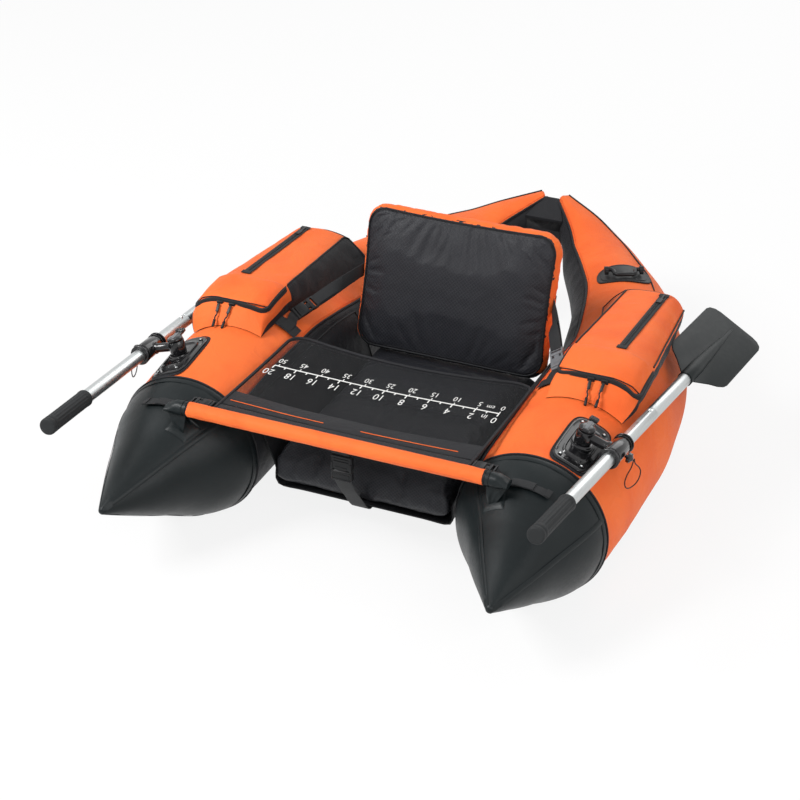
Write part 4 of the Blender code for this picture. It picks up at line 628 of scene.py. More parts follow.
def open_mesh(name, colour):
    """Knitted polyester mesh: threads with a hole in each cell."""
    nodes = Nodes(name, 0.7, Specular_IOR_Level=0.15)
    pitch = 0.0024
    across = nodes.wave(nodes.cloth(1 / pitch, 30), ONE_WAVE, "X")
    along = nodes.wave(nodes.cloth(1 / pitch, 30), ONE_WAVE, "Y")
    cell = nodes.maths("MULTIPLY", across, along)
    hole = nodes.between(cell, 0.0, 1.0, 0.07, 0.15)
    pale = tuple(c * 1.7 + 0.004 for c in colour)
    tone = nodes.mix(nodes.between(cell, 0.5, 0.0, 0.0, 0.4), colour, pale)
    alpha = nodes.between(hole, 1.0, 0.10)
    return nodes.out(tone, nodes.bump(cell, -0.0005), alpha=alpha)


def printed(name, colour):
    nodes = Nodes(name, 0.55, Specular_IOR_Level=0.2)
    wear = nodes.noise(nodes.place(1.0), 900.0, 3.0)
    dull = tuple(c * 0.7 for c in colour)
    tone = nodes.mix(nodes.between(wear, 0.0, 0.6, 0.5, 0.75), colour, dull)
    return nodes.out(tone, nodes.bump(wear, 0.0001))


ORANGE = nylon("orange_nylon_cloth", (0.87, 0.162, 0.034), (0.79, 0.115, 0.022))
# A shaded copy of the orange nylon, used as painted shade on the stitch lines along the cover
# seams.
ORANGE_PAINTED_SHADE = nylon("orange_nylon_shade", (0.80, 0.10, 0.02), (0.72, 0.070, 0.018))
BLACK = nylon("black_nylon_cloth", (0.0115, 0.0120, 0.0140), (0.0080, 0.0080, 0.0100), 0.55)
RIPSTOP = ripstop("black_ripstop_cloth", (0.0120, 0.0128, 0.0165), (0.0085, 0.0090, 0.0120))
PVC = coated("grey_pvc_cloth", (0.0064, 0.0096, 0.0106), (0.0048, 0.0072, 0.0080))
WEB = webbing("black_webbing", (0.0100, 0.0105, 0.0115))
GREY_WEB = webbing("grey_webbing", (0.110, 0.115, 0.120))
PLASTIC = moulded("black_moulded_plastic", (0.0110, 0.0115, 0.0125), 0.38)
# Grey plastic that paints shine onto gloss black parts: a painted glint on the left back buckle and
# a painted highlight along the oarlock lever.
GREY_PLASTIC_PAINTED_GLINT = moulded("grey_plastic_painted_glint", (0.150, 0.155, 0.165), 0.35)
GLOSS = moulded("gloss_black_moulding", (0.0070, 0.0070, 0.0080), 0.16, 0.5)
RUBBER = moulded("grip_rubber_moulding", (0.0170, 0.0185, 0.0195), 0.62)
BLADE = moulded("blade_moulding", (0.0058, 0.0086, 0.0090), 0.45)
ALUMINIUM = brushed("drawn_aluminium", (0.56, 0.58, 0.58))
VINYL = moulded("bladder_vinyl_film", (0.55, 0.57, 0.60), 0.3)
MESH = open_mesh("knitted_mesh", (0.0120, 0.0125, 0.0135))
PRINT = printed("white_print", (0.80, 0.80, 0.78))


# Camera and lanyards


def add_camera():
    data = bpy.data.cameras.new("photo_camera")
    data.lens, data.sensor_width = 90.0, 36.0
    obj = bpy.data.objects.new("photo_camera", data)
    bpy.context.scene.collection.objects.link(obj)
    obj.location = (1.48598, -3.5620, 2.33020)
    toward = Vector((0, -0.19757, 0.23487)) - obj.location
    obj.rotation_euler = toward.to_track_quat("-Z", "Y").to_euler()
    bpy.context.scene.camera = obj


LANYARD_DIAMETER = 0.0024
LANYARD_PLANE = unit((0.3, 0.95, 0))
LANYARD_SHAPE = (
    (-0.6, -0.8),
    (-1.1, 2.4),
    (-3.4, 6.2),
    (-8.0, 10.0),
    (-11.0, 15.5),
    (-9.4, 21.5),
    (-4.0, 24.8),
    (4.0, 24.8),
    (9.4, 21.5),
    (11.0, 15.5),
    (8.0, 10.0),
    (3.6, 5.6),
    (1.5, 2.4),
    (0.9, -0.8),
)


def oar_direction():
    return unit(OAR_BEHIND)


def lock_axis():
    return vec(math.cos(math.radians(LOCK_TILT)), 0, math.sin(math.radians(LOCK_TILT)))


def lift_axis():
    return unit(np.cross(oar_direction(), lock_axis()))


def joint_point(name):
    """Where a joint of the record sits, in the design frame."""
    return np.array(next(j for j in frame["joints"] if j["name"] == name)["pos_m"]) - SHIFT


def post_base():
    return joint_point("oarlock_swing_left")


def pin_point():
    return joint_point("oar_lift_left")


def knob_point():
    return pin_point() + lift_axis() * (LOCK_REACH + COLLAR_RADIUS + 0.0004)


def oar_point(distance, name=None):
    drawn = OAR_DRAWN[name] if name else 0
    return pin_point() + lift_axis() * LOCK_REACH + oar_direction() * (distance - drawn)


def knob_lanyard(name, side):
    step = LANYARD_DIAMETER
    start = knob_point() + lift_axis() * (KNOB_LENGTH + KNOB_NUB + step / 2 + FIT_GAP * 3)
    route = [start + LANYARD_PLANE * (a * step) - UP * (b * step) for a, b in LANYARD_SHAPE]
    path = curve_through(route, 3)
    shape = Shape().tube(path, step / 2, 10)
    obj = shape.make(f"lanyard_{name}", side, WEB, f"oar_{name}", "webbing", f"knob_lanyard_{name}")
    placed = path * (side, 1, 1) + SHIFT
    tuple(placed[0])
    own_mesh(obj)
    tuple(placed[0])
    [tuple(p) for p in placed]


add_camera()
for side_name, side_sign in SIDES:
    knob_lanyard(side_name, side_sign)

# Hull


def seam_pucker(rows_y, angles, seams, reach=0.045, seed=0.0):
    """Small gathers that run out from each seam, and broad soft dents, in metres."""
    y, a = np.meshgrid(rows_y, angles, indexing="ij")
    at = stacked(y * 34, a * 0.035, seed)
    gather = noise_at(at) * 0.7 + noise_at(at * (2.3, 1.4, 1), 5.0) * 0.3
    near = np.zeros_like(y)
    for seam in seams:
        away = np.radians(np.abs(a - seam)) * pchip(STATION_Y, STATION_R, y)
        near = np.maximum(near, np.exp(-((away / reach) ** 2)) * np.clip(away / 0.008, 0, 1))
    broad = noise_at(stacked(y * 7, a * 0.03, seed + 9))
    return near * gather * 0.0034 + broad * 0.0020 - 0.0010


def cover_rows():
    return np.concatenate(
        (np.linspace(CONE_BASE_Y, 0.80, 170), np.linspace(0.805, STERN_Y, 34))
    )


def pontoon_covers(name, side):
    rows = cover_rows()
    top = np.linspace(OUTER_SEAM, INNER_SEAM, 61)
    lift = seam_pucker(rows, top, (OUTER_SEAM, INNER_SEAM), seed=3.0 + side)
    lift[:, [0, -1]] = 0.0
    grid = ring_at(rows[:, None], top[None, :], lift)
    shape = Shape().grid(grid[::-1])
    node = f"pontoon_top_cover_{name}"
    obj = shape.make(f"top_cover_{name}", side, ORANGE, "hull", "orange_nylon", node, turn=False)
    thicken(obj, COVER_THICKNESS)
    low = np.linspace(INNER_SEAM, OUTER_SEAM + 360, 51)
    lift = seam_pucker(rows, low, (INNER_SEAM, OUTER_SEAM + 360), seed=13.0 + side)
    lift[:, [0, -1]] = 0.0
    grid = ring_at(rows[:, None], low[None, :], lift)
    shape = Shape().grid(grid[::-1])
    node = f"pontoon_bottom_cover_{name}"
    obj = shape.make(f"bottom_cover_{name}", side, BLACK, "hull", "black_nylon", node, turn=False)
    thicken(obj, COVER_THICKNESS)
    trim = Shape()
    for angle in (OUTER_SEAM, INNER_SEAM):
        trim.tube(ring_at(rows[::2], angle, 0.0008), 0.0026, 8)
    for angle in (OUTER_SEAM - 4.5, INNER_SEAM + 4.5):
        trim.tube(ring_at(rows[::2], angle, 0.0002), 0.0007, 5)
    rear = rows[rows > at_station(7.6)]
    trim.tube(ring_at(rear, 58, 0.0006), 0.0018, 7)
    ring = ring_at(CONE_BASE_Y, np.linspace(0, 360, 96, endpoint=False), 0.0010)
    trim.tube(ring, 0.0022, 8, closed=True)
    trim.make(f"cover_piping_{name}", side, BLACK, "hull", "black_nylon")
    # The stitch lines beside each seam are drawn in the shaded orange, which is painted shade along
    # the stitching.
    shaded_stitches = Shape()
    for angle, gap in ((OUTER_SEAM, 0.007), (INNER_SEAM, -0.007)):
        reach = pchip(STATION_Y, STATION_R, rows)
        line = ring_at(rows, angle + np.degrees(gap / reach), 0.0004)
        shaded_stitches.tube(line, 0.0005, 5)
    shaded_stitches.make(f"cover_stitching_painted_shade_{name}", side, ORANGE_PAINTED_SHADE, "hull", "orange_nylon")


def nose_cone(name, side):
    rows = np.concatenate(
        (
            STATION_Y[0] + np.array((0, 0.002, 0.006, 0.012)),
            np.linspace(STATION_Y[0] + 0.02, CONE_BASE_Y, 56)
        )
    )
    angles = np.linspace(135, 495, 97)[:-1]
    y, a = np.meshgrid(rows, angles, indexing="ij")
    grow = np.clip((y - rows[0]) / 0.08, 0, 1)
    at = stacked(y * 16, np.cos(np.radians(a)) * 1.6, np.sin(np.radians(a)) * 1.6 + side)
    lift = noise_at(at) * 0.0014 * grow - 0.0008 * grow
    gather = noise_at(stacked(y * 5, a * 0.11, 4.0))
    lift += gather * 0.0011 * np.exp(-((rows[-1] - y) / 0.03) ** 2)
    grid = ring_at(y, a, lift)
    grid[0] = grid[0] * 0.4 + grid[0].mean(0) * 0.6
    shape = Shape().grid(grid[::-1], closed=True).fill(len(angles), len(rows) - 1)
    obj = shape.make(f"cone_{name}", side, PVC, "hull", "grey_pvc", f"nose_cone_{name}", turn=False)
    thicken(obj, COVER_THICKNESS)
    seams = Shape()
    run = np.linspace(rows[2], CONE_BASE_Y, 60)
    for angle in (135.0, 20.0, 255.0):
        half = np.degrees(0.006 / pchip(STATION_Y, STATION_R, run))
        bands = [
            ring_at(run, angle + half * k, lift_k)
            for k, lift_k in ((-1, 0.0001), (-0.85, 0.0011), (0.85, 0.0011), (1, 0.0001))
        ]
        seams.grid(np.stack(bands, 1))
    band_y = np.linspace(CONE_BASE_Y - 0.016, CONE_BASE_Y - 0.003, 4)
    around = np.linspace(0, 360, 97)
    lifts = np.array((0.0002, 0.0012, 0.0012, 0.0006))
    seams.grid(ring_at(band_y[:, None], around[None, :], lifts[:, None]))
    seams.make(f"cone_seams_{name}", side, PVC, "hull", "grey_pvc")


def stern_gusset():
    shares = np.linspace(0.62, 0.02, 12)
    rings = []
    for share in shares:
        angles = np.linspace(124 + 26 * (share / 0.62) ** 0.7, 250, 22)
        half = ring_at(at_station(12 - share), angles, 0.0006)
        rings.append(np.concatenate((half, half[::-1] * (-1, 1, 1))))
    shape = Shape().grid(rings, closed=True).fill(len(rings[0]), 0, len(rings) - 1)
    obj = shape.make("stern_filler", 1, BLACK, "hull", "black_nylon", "stern_gusset")
    outward(obj)


for side_name, side_sign in SIDES:
    pontoon_covers(side_name, side_sign)
    nose_cone(side_name, side_sign)
stern_gusset()

# Cargo pockets

POCKET_OUTER_TAPER, POCKET_INNER_TAPER = 0.030, 0.012
ZIP_LAND = 0.018


def pocket_top(y, count=27):
    """The pocket's top section at this y, inner edge to outer edge."""
    share = max(0.0, (y - POCKET_SEAM_Y) / (POCKET_REAR_Y - POCKET_SEAM_Y))
    z = POCKET_ZIP_Z - POCKET_FALL * share
    if y < POCKET_SEAM_Y:
        z -= POCKET_FACE_DROP * ((POCKET_SEAM_Y - y) / (POCKET_SEAM_Y - POCKET_FACE_Y)) ** 2
    inner = POCKET_INNER_X + POCKET_INNER_TAPER * share
    outer = POCKET_OUTER_X - POCKET_OUTER_TAPER * share
    xs = (
        inner, inner + (POCKET_ZIP_X - inner) * 0.35, POCKET_ZIP_X - ZIP_LAND / 2,
        POCKET_ZIP_X + ZIP_LAND / 2, POCKET_ZIP_X + (outer - POCKET_ZIP_X) * 0.75, outer
    )
    drops = (
        POCKET_INNER_DROP, POCKET_INNER_DROP * 0.15, 0, 0, POCKET_OUTER_DROP * 0.4,
        POCKET_OUTER_DROP
    )
    at = np.linspace(xs[0], xs[-1], count)
    zs = z - pchip(np.array(xs), np.array(drops), at)
    return stacked(at, y, zs)


POCKET_COUNTS = (14, 10, 27, 10)


def pocket_height(y):
    """Share of the full height: it rises behind the toe and rounds over at the rear."""
    ahead = min(1.0, max(0.0, (y - POCKET_FRONT_Y) / (POCKET_FACE_Y - POCKET_FRONT_Y)))
    behind = min(1.0, max(0.0, (POCKET_REAR_Y - y) / 0.022))
    return (1 - (1 - ahead) ** 2.1) * (0.62 + 0.38 * math.sqrt(1 - (1 - behind) ** 2))


def pocket_ring(y, drop, seed):
    """Floor outwards to inwards, inner side up, top, outer side down: one closed ring."""
    floor = skin(y, np.linspace(POCKET_OUTER_ANGLE, POCKET_INNER_ANGLE, POCKET_COUNTS[0]), 0.0010)
    top = pocket_top(y, POCKET_COUNTS[2]) - (0, 0, drop)
    share = np.linspace(0, 1, POCKET_COUNTS[1] + 2)[1:-1, None]
    inner = floor[-1] + (top[0] - floor[-1]) * share
    outer = top[-1] + (floor[0] - top[-1]) * share
    swell = np.sin(math.pi * share[:, 0])
    at = stacked(y * 22, share[:, 0] * 2.2, seed)
    inner[:, 0] -= swell * (0.004 + 0.0065 * noise_at(at))
    outer[:, 0] += swell * (0.0105 + 0.005 * noise_at(at, 3.0))
    shadow_top = skin(
        y, np.linspace(POCKET_INNER_ANGLE, POCKET_OUTER_ANGLE, POCKET_COUNTS[2]), 0.0016
    )
    wave = noise_at(stacked(top[:, 0] * 26, y * 20, seed))
    top[:, 2] += wave * 0.0024 - 0.0010
    ring = np.concatenate((floor, inner, top, outer))
    shadow = np.concatenate(
        (
            floor, np.repeat(floor[-1:], len(inner), 0), shadow_top,
            np.repeat(floor[:1], len(outer), 0)
        )
    )
    ring = shadow + (ring - shadow) * pocket_height(y)
    ahead = math.exp(-(((y - POCKET_FACE_Y + 0.014) / 0.020) ** 2))
    fold = noise_at(stacked(ring[:, 0] * 13, ring[:, 2] * 60, seed + 4))
    ring[len(floor):, 2] += (fold * 0.0045 * ahead)[len(floor):]
    n = len(floor)
    for _ in range(2):
        moved = (np.roll(ring, 1, 0) + 2 * ring + np.roll(ring, -1, 0)) / 4
        ring[n:] = moved[n:]
        ring[:, 1] = y
    return ring


def lid_drop(y):
    """How far the pocket's top lies lower under the lid."""
    return LID_SEAM_DROP * min(1.0, max(0.0, (POCKET_SEAM_Y - y) / LID_SEAM_RUN))


def cargo_pocket(name, side):
    ys = np.concatenate((
        np.linspace(POCKET_FRONT_Y, POCKET_FACE_Y, 12)[:-1],
        np.linspace(POCKET_FACE_Y, POCKET_SEAM_Y, 20)[:-1],
        np.linspace(POCKET_SEAM_Y, POCKET_REAR_Y - 0.022, 54)[:-1],
        POCKET_REAR_Y - 0.022 * (1 - np.sin(np.linspace(0, math.pi / 2, 8))),
    ))
    rings = [pocket_ring(y, lid_drop(y), 2.0 + side) for y in ys]
    back = rings[-1]
    middle = back.mean(0)
    for share in (0.75, 0.4, 0.05):
        rings.append(middle + (back - middle) * share + (0, 0.003 * (1 - share), 0))
    rings = np.array(rings)
    count = rings.shape[1]
    floor, inner, top, outer = np.split(np.arange(count), np.cumsum(POCKET_COUNTS)[:-1])
    zones = np.zeros((len(rings) - 1, count), int)
    dark_side = outer if side > 0 else inner
    far_side = inner if side > 0 else outer
    behind = np.searchsorted(ys, POCKET_SEAM_Y + 0.004)
    zones[: len(ys) - 1, dark_side] = 1
    if side < 0:
        zones[:behind, dark_side[3:]] = 0
        zones[: len(ys) - 1, far_side] = 1
    zones[:, floor] = 1
    shape = Shape().grid(rings, zones, closed=True)
    obj = shape.make(
        f"pocket_{name}", side, (ORANGE, BLACK), "hull", "orange_nylon", f"cargo_pocket_{name}"
    )
    outward(obj)
    trim = Shape()
    main = ys[(ys > POCKET_SEAM_Y + 0.006) & (ys < POCKET_REAR_Y - 0.004)]
    for column, lift in ((top[0], (-0.001, 0, 0.001)), (top[-1], (0.001, 0, 0.001))):
        line = [pocket_ring(y, 0, 2.0 + side)[column] + lift for y in main]
        trim.tube(line, 0.0019, 7)
    rear = pocket_ring(POCKET_REAR_Y - 0.006, 0, 2.0 + side)[len(floor):] + (0, 0.001, 0)
    trim.tube(rear, 0.0020, 7)
    trim.make(f"pocket_piping_{name}", side, BLACK, "hull", "black_nylon")
    main_zip(name, side)
    flap_zip(name, side)


def main_zip(name, side):
    """The tape, its folded edges and the coil down the middle of the pocket's top."""
    run = POCKET_REAR_Y - POCKET_SEAM_Y
    ys = np.linspace(POCKET_SEAM_Y + run * 0.03, POCKET_SEAM_Y + run * 0.90, 60)
    tops = np.array([pocket_top(y, 27) for y in ys])
    across = np.array((-0.0095, -0.0088, -0.0036, -0.0032, 0.0032, 0.0036, 0.0088, 0.0095))
    lifts = np.array((0.0004, 0.0016, 0.0018, 0.0010, 0.0010, 0.0018, 0.0016, 0.0004))
    rows = []
    for line in tops:
        z = np.interp(POCKET_ZIP_X + across, line[:, 0], line[:, 2])
        rows.append(stacked(POCKET_ZIP_X + across, line[0, 1], z + lifts))
    shape = Shape().grid(rows)
    zip_line = tops[:, 13] * (0, 1, 1) + (POCKET_ZIP_X, 0, 0.0012)
    shape.tube(zip_line - (0, 0, 0.0006), 0.0016, 8)
    for end in (0, -1):
        shape.block(zip_line[end] + (0, 0, 0.0008), np.eye(3), (0.011, 0.006, 0.0012), 0.0009)
    shape.make(f"main_zip_{name}", side, WEB, "hull", "webbing")
    teeth = Shape()
    for point in resampled(zip_line, 150)[1:-1]:
        teeth.block(point + (0, 0, 0.0007), np.eye(3), (0.0024, 0.0006, 0.0006), 0.0003, segments=1)
    teeth.make(f"main_zip_coil_{name}", side, PLASTIC, "hull", "black_plastic")


def flap_outline():
    """Round the lid's free edge, from the seam's inner end to its outer end."""
    ys = np.linspace(POCKET_SEAM_Y - 0.004, POCKET_FACE_Y + 0.006, 18)
    inner = np.array([pocket_top(y)[0] for y in ys])
    outer = np.array([pocket_top(y)[-1] for y in ys[::-1]])
    front = pocket_top(POCKET_FACE_Y) - (0, 0.006, 0.001)
    corner_in, corner_out = front[1], front[-2]
    path = np.concatenate((inner, corner_in[None], front[3:-3:2], corner_out[None], outer))
    path = resampled(path, 90)
    for _ in range(5):
        path[1:-1] = (path[:-2] + 2 * path[1:-1] + path[2:]) / 4
    return path


def flap_zip(name, side):
    """The curved zip that closes the lid, with two sliders at its front."""
    path = flap_outline()
    ahead = unit(np.gradient(path, axis=0))
    out = unit(np.cross(UP, ahead)) * -1
    middle = np.array((POCKET_ZIP_X, POCKET_SEAM_Y, 0.37))
    out *= np.sign(np.sum(out * (path - middle), 1))[:, None]
    shape = Shape()
    rows = []
    for lift, off in (
        (0.0005, -0.001), (-0.0005, 0.0035), (-0.0055, 0.0044), (-0.006, 0.0034), (-0.0095, 0.0034),
        (-0.010, 0.0044), (-0.0145, 0.0040), (-0.0150, 0.0005)
    ):
        rows.append(path + out * off + UP * lift)
    shape.grid(rows)
    shape.tube(path + out * 0.0040 - UP * 0.0078, 0.0014, 7)
    shape.make(f"flap_zip_{name}", side, WEB, "hull", "webbing")
    pulls = Shape()
    for share, swing in ((0.47, 0.10), (0.54, -0.08)):
        k = int(share * (len(path) - 1))
        normal = unit(UP + out[k])
        here = path[k] + out[k] * 0.0062 - UP * 0.0078
        fall = unit(out[k] - UP + ahead[k] * swing)
        wide = unit(np.cross(fall, normal))
        pulls.block(here, (ahead[k], out[k], UP), (0.0075, 0.0026, 0.0046), 0.0014)
        tab = here + fall * 0.013 + normal * 0.0045
        pulls.block(tab, (wide, normal, fall), (0.0034, 0.0011, 0.0095), 0.0009)
        cord = tab + fall * 0.008
        bend = [
            cord, cord + fall * 0.007 + wide * 0.0016, cord + fall * 0.014 - wide * 0.001,
            cord + fall * 0.020
        ]
        pulls.tube(curve_through(bend, 4), 0.0016, 7)
        pulls.lathe(
            cord + fall * 0.019, fall,
            ((0, 0.0018), (0.001, 0.0030), (0.016, 0.0032), (0.018, 0.0020)), 12
        )
    pulls.make(f"flap_pulls_{name}", side, PLASTIC, "hull", "black_plastic")


def pocket_flap(name, side):
    ys = np.linspace(POCKET_FACE_Y - 0.004, POCKET_SEAM_Y - 0.0012, 34)
    rows = []
    for i, y in enumerate(ys):
        line = pocket_top(max(y, POCKET_FACE_Y), 35)
        line[:, 1] = y
        u = np.linspace(-1, 1, 35)
        v = i / (len(ys) - 1)
        near = np.minimum(np.minimum((1 - abs(u)) / 0.16, v / 0.10), 1.0)
        puff = np.sqrt(np.clip(1 - (1 - near) ** 2, 0, 1))
        wave = noise_at(stacked(line[:, 0] * 30, line[:, 1] * 24, 7.0 + side))
        seam_pull = 1 - math.exp(-((1 - v) / 0.08))
        line[:, 2] += 0.0045 * puff * seam_pull + wave * 0.0013 * puff + 0.0002
        round_front = max(0.0, 1 - v / 0.2)
        line[:, 1] += 0.014 * round_front**2 * np.abs(u) ** 3
        rows.append(line)
    rows = np.array(rows)
    under = rows - (0, 0, 0.0042)
    shape = Shape()
    shape.grid(rows)
    edge = np.concatenate((rows[::-1, 0], rows[0, 1:-1], rows[:, -1]))
    low = np.concatenate((under[::-1, 0], under[0, 1:-1], under[:, -1]))
    out = unit((edge - rows.mean((0, 1))) * (1, 1, 0)) * 0.0012
    shape.grid([edge, edge * 0.6 + low * 0.4 + out, low])
    obj = shape.make(
        f"flap_{name}", side, ORANGE, f"pocket_flap_{name}", "orange_nylon", f"pocket_flap_{name}"
    )
    outward(obj)
    trim = Shape().tube(edge + out * 0.4 - (0, 0, 0.0005), 0.0013, 7)
    trim.make(f"flap_piping_{name}", side, BLACK, f"pocket_flap_{name}", "black_nylon")


for side_name, side_sign in SIDES:
    cargo_pocket(side_name, side_sign)
    pocket_flap(side_name, side_sign)

# Cushions


def inflate(obj, pinned, voxel, most, pressure=4.0):
    """Remeshes a closed pad and lets cloth under pressure fill it out between its seams."""
    start = obj.copy()
    start.data = obj.data.copy()
    bpy.context.scene.collection.objects.link(start)
    remesh = start.modifiers.new("even", "REMESH")
    remesh.mode, remesh.voxel_size = "VOXEL", voxel
    mesh = evaluated_mesh(start)
    start.modifiers.clear()
    start.data = mesh
    rest = points_of(mesh)
    group = start.vertex_groups.new(name="pin")
    for index in np.nonzero(pinned(rest))[0]:
        group.add([int(index)], 1.0, "REPLACE")
    cloth = start.modifiers.new("fill", "CLOTH")
    settings = cloth.settings
    settings.quality, settings.mass = 5, 0.3
    settings.tension_stiffness = settings.compression_stiffness = 12
    settings.shear_stiffness, settings.bending_stiffness = 6, 0.4
    settings.use_pressure, settings.uniform_pressure_force = True, pressure
    settings.shrink_min = -0.018
    settings.effector_weights.gravity = 0
    settings.vertex_group_mass = "pin"
    cloth.point_cache.frame_start, cloth.point_cache.frame_end = 1, 20
    for number in range(1, 21):
        bpy.context.scene.frame_set(number)
    graph = bpy.context.evaluated_depsgraph_get()
    found = start.evaluated_get(graph).to_mesh()
    moved = points_of(found)
    start.evaluated_get(graph).to_mesh_clear()
    start.modifiers.clear()
    bpy.context.scene.frame_set(1)
    step = moved - rest
    length = np.linalg.norm(step, axis=1, keepdims=True)
    step *= np.minimum(1.0, most / np.maximum(length, 1e-9))
    move_points(mesh, rest + step)
    bpy.data.objects.remove(obj)
    return start


def subdivided(obj):
    modifier = obj.modifiers.new("fine", "SUBSURF")
    modifier.levels = modifier.render_levels = 1
    mesh = evaluated_mesh(obj)
    obj.modifiers.clear()
    obj.data = mesh
    mesh.shade_smooth()


def dress(obj, name, finishes, zone_of, cloth_of, body, node):
    """Gives a remeshed pad its materials by place, its fabric coordinates and its body."""
    obj.name = name
    mesh = obj.data
    mesh.materials.clear()
    for finish in finishes:
        mesh.materials.append(finish)
    points = points_of(mesh) - SHIFT
    centres = np.array([p.center for p in mesh.polygons]) - SHIFT
    normals = np.array([p.normal for p in mesh.polygons])
    mesh.polygons.foreach_set("material_index", zone_of(centres, normals).astype(int))
    kept = mesh.attributes.get("cloth") or mesh.attributes.new("cloth", "FLOAT_VECTOR", "POINT")
    kept.data.foreach_set("vector", np.pad(cloth_of(points), ((0, 0), (0, 1))).ravel())
    mesh.shade_smooth()
    mesh.update()
    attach(obj, body)
    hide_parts(node)


def back_axes():
    up = vec(0, math.sin(BACK_RECLINE), math.cos(BACK_RECLINE))
    return up, vec(0, math.cos(BACK_RECLINE), -math.sin(BACK_RECLINE))


BACK_UP, BACK_REAR = back_axes()
BACK_BASE = BACK_PIVOT - BACK_UP * BACK_THICKNESS / 2
BACK_MID = BACK_BASE + BACK_UP * BACK_HEIGHT / 2


def rounded_outline(half_w, half_h, corner, per_corner=10, per_side=26):
    """Clockwise seen from the front, from the right end of the top edge."""
    points = []
    for quarter, (sx, sy) in enumerate(((1, 1), (-1, 1), (-1, -1), (1, -1))):
        for i in range(per_corner + 1):
            a = math.radians(90 * (quarter + i / per_corner))
            points.append(
                (
                    sx * (half_w - corner) + corner * math.cos(a),
                    sy * (half_h - corner) + corner * math.sin(a)
                )
            )
        a = points[-1]
        nx, ny = ((-1, 1), (-1, -1), (1, -1), (1, 1))[quarter]
        turn = math.radians(90 * (quarter + 1))
        b = (
            nx * (half_w - corner) + corner * math.cos(turn),
            ny * (half_h - corner) + corner * math.sin(turn)
        )
        for t in np.linspace(0, 1, per_side + 1)[1:-1]:
            points.append((a[0] + (b[0] - a[0]) * t, a[1] + (b[1] - a[1]) * t))
    return np.array(points)


def back_point(x, h, depth):
    """A point from the middle of the backrest: across, up along it and rearward."""
    x, h, depth = (part[..., None] for part in np.broadcast_arrays(x, h, depth))
    return BACK_MID + x * vec(1, 0, 0) + h * BACK_UP + depth * BACK_REAR


def back_ring(shrink, depth, draw):
    half_w, half_h, mid = BACK_WIDTH / 2, BACK_HEIGHT / 2, BACK_THICKNESS / 2
    outline = rounded_outline(half_w, half_h, BACK_CORNER)
    x, h = outline[:, 0], outline[:, 1]
    drawn_x = np.where(abs(x) > half_w - BACK_CORNER, draw * (1 - (h / half_h) ** 2), 0)
    drawn_h = np.where(h > half_h - BACK_CORNER, draw * (1 - (x / half_w) ** 2), 0)
    round_off = mid * (1 - math.sqrt(1 - min(1.0, abs(depth) / mid) ** 2))
    low = np.where(h < 0, max(round_off, shrink), shrink)
    px = x * (1 - shrink / half_w) - np.sign(x) * drawn_x
    ph = h * (1 - low / half_h) - drawn_h
    return back_point(px, ph, np.full(len(px), depth))


BACK_FRONT_SEAM, BACK_REAR_SEAM = -0.0190, 0.0190


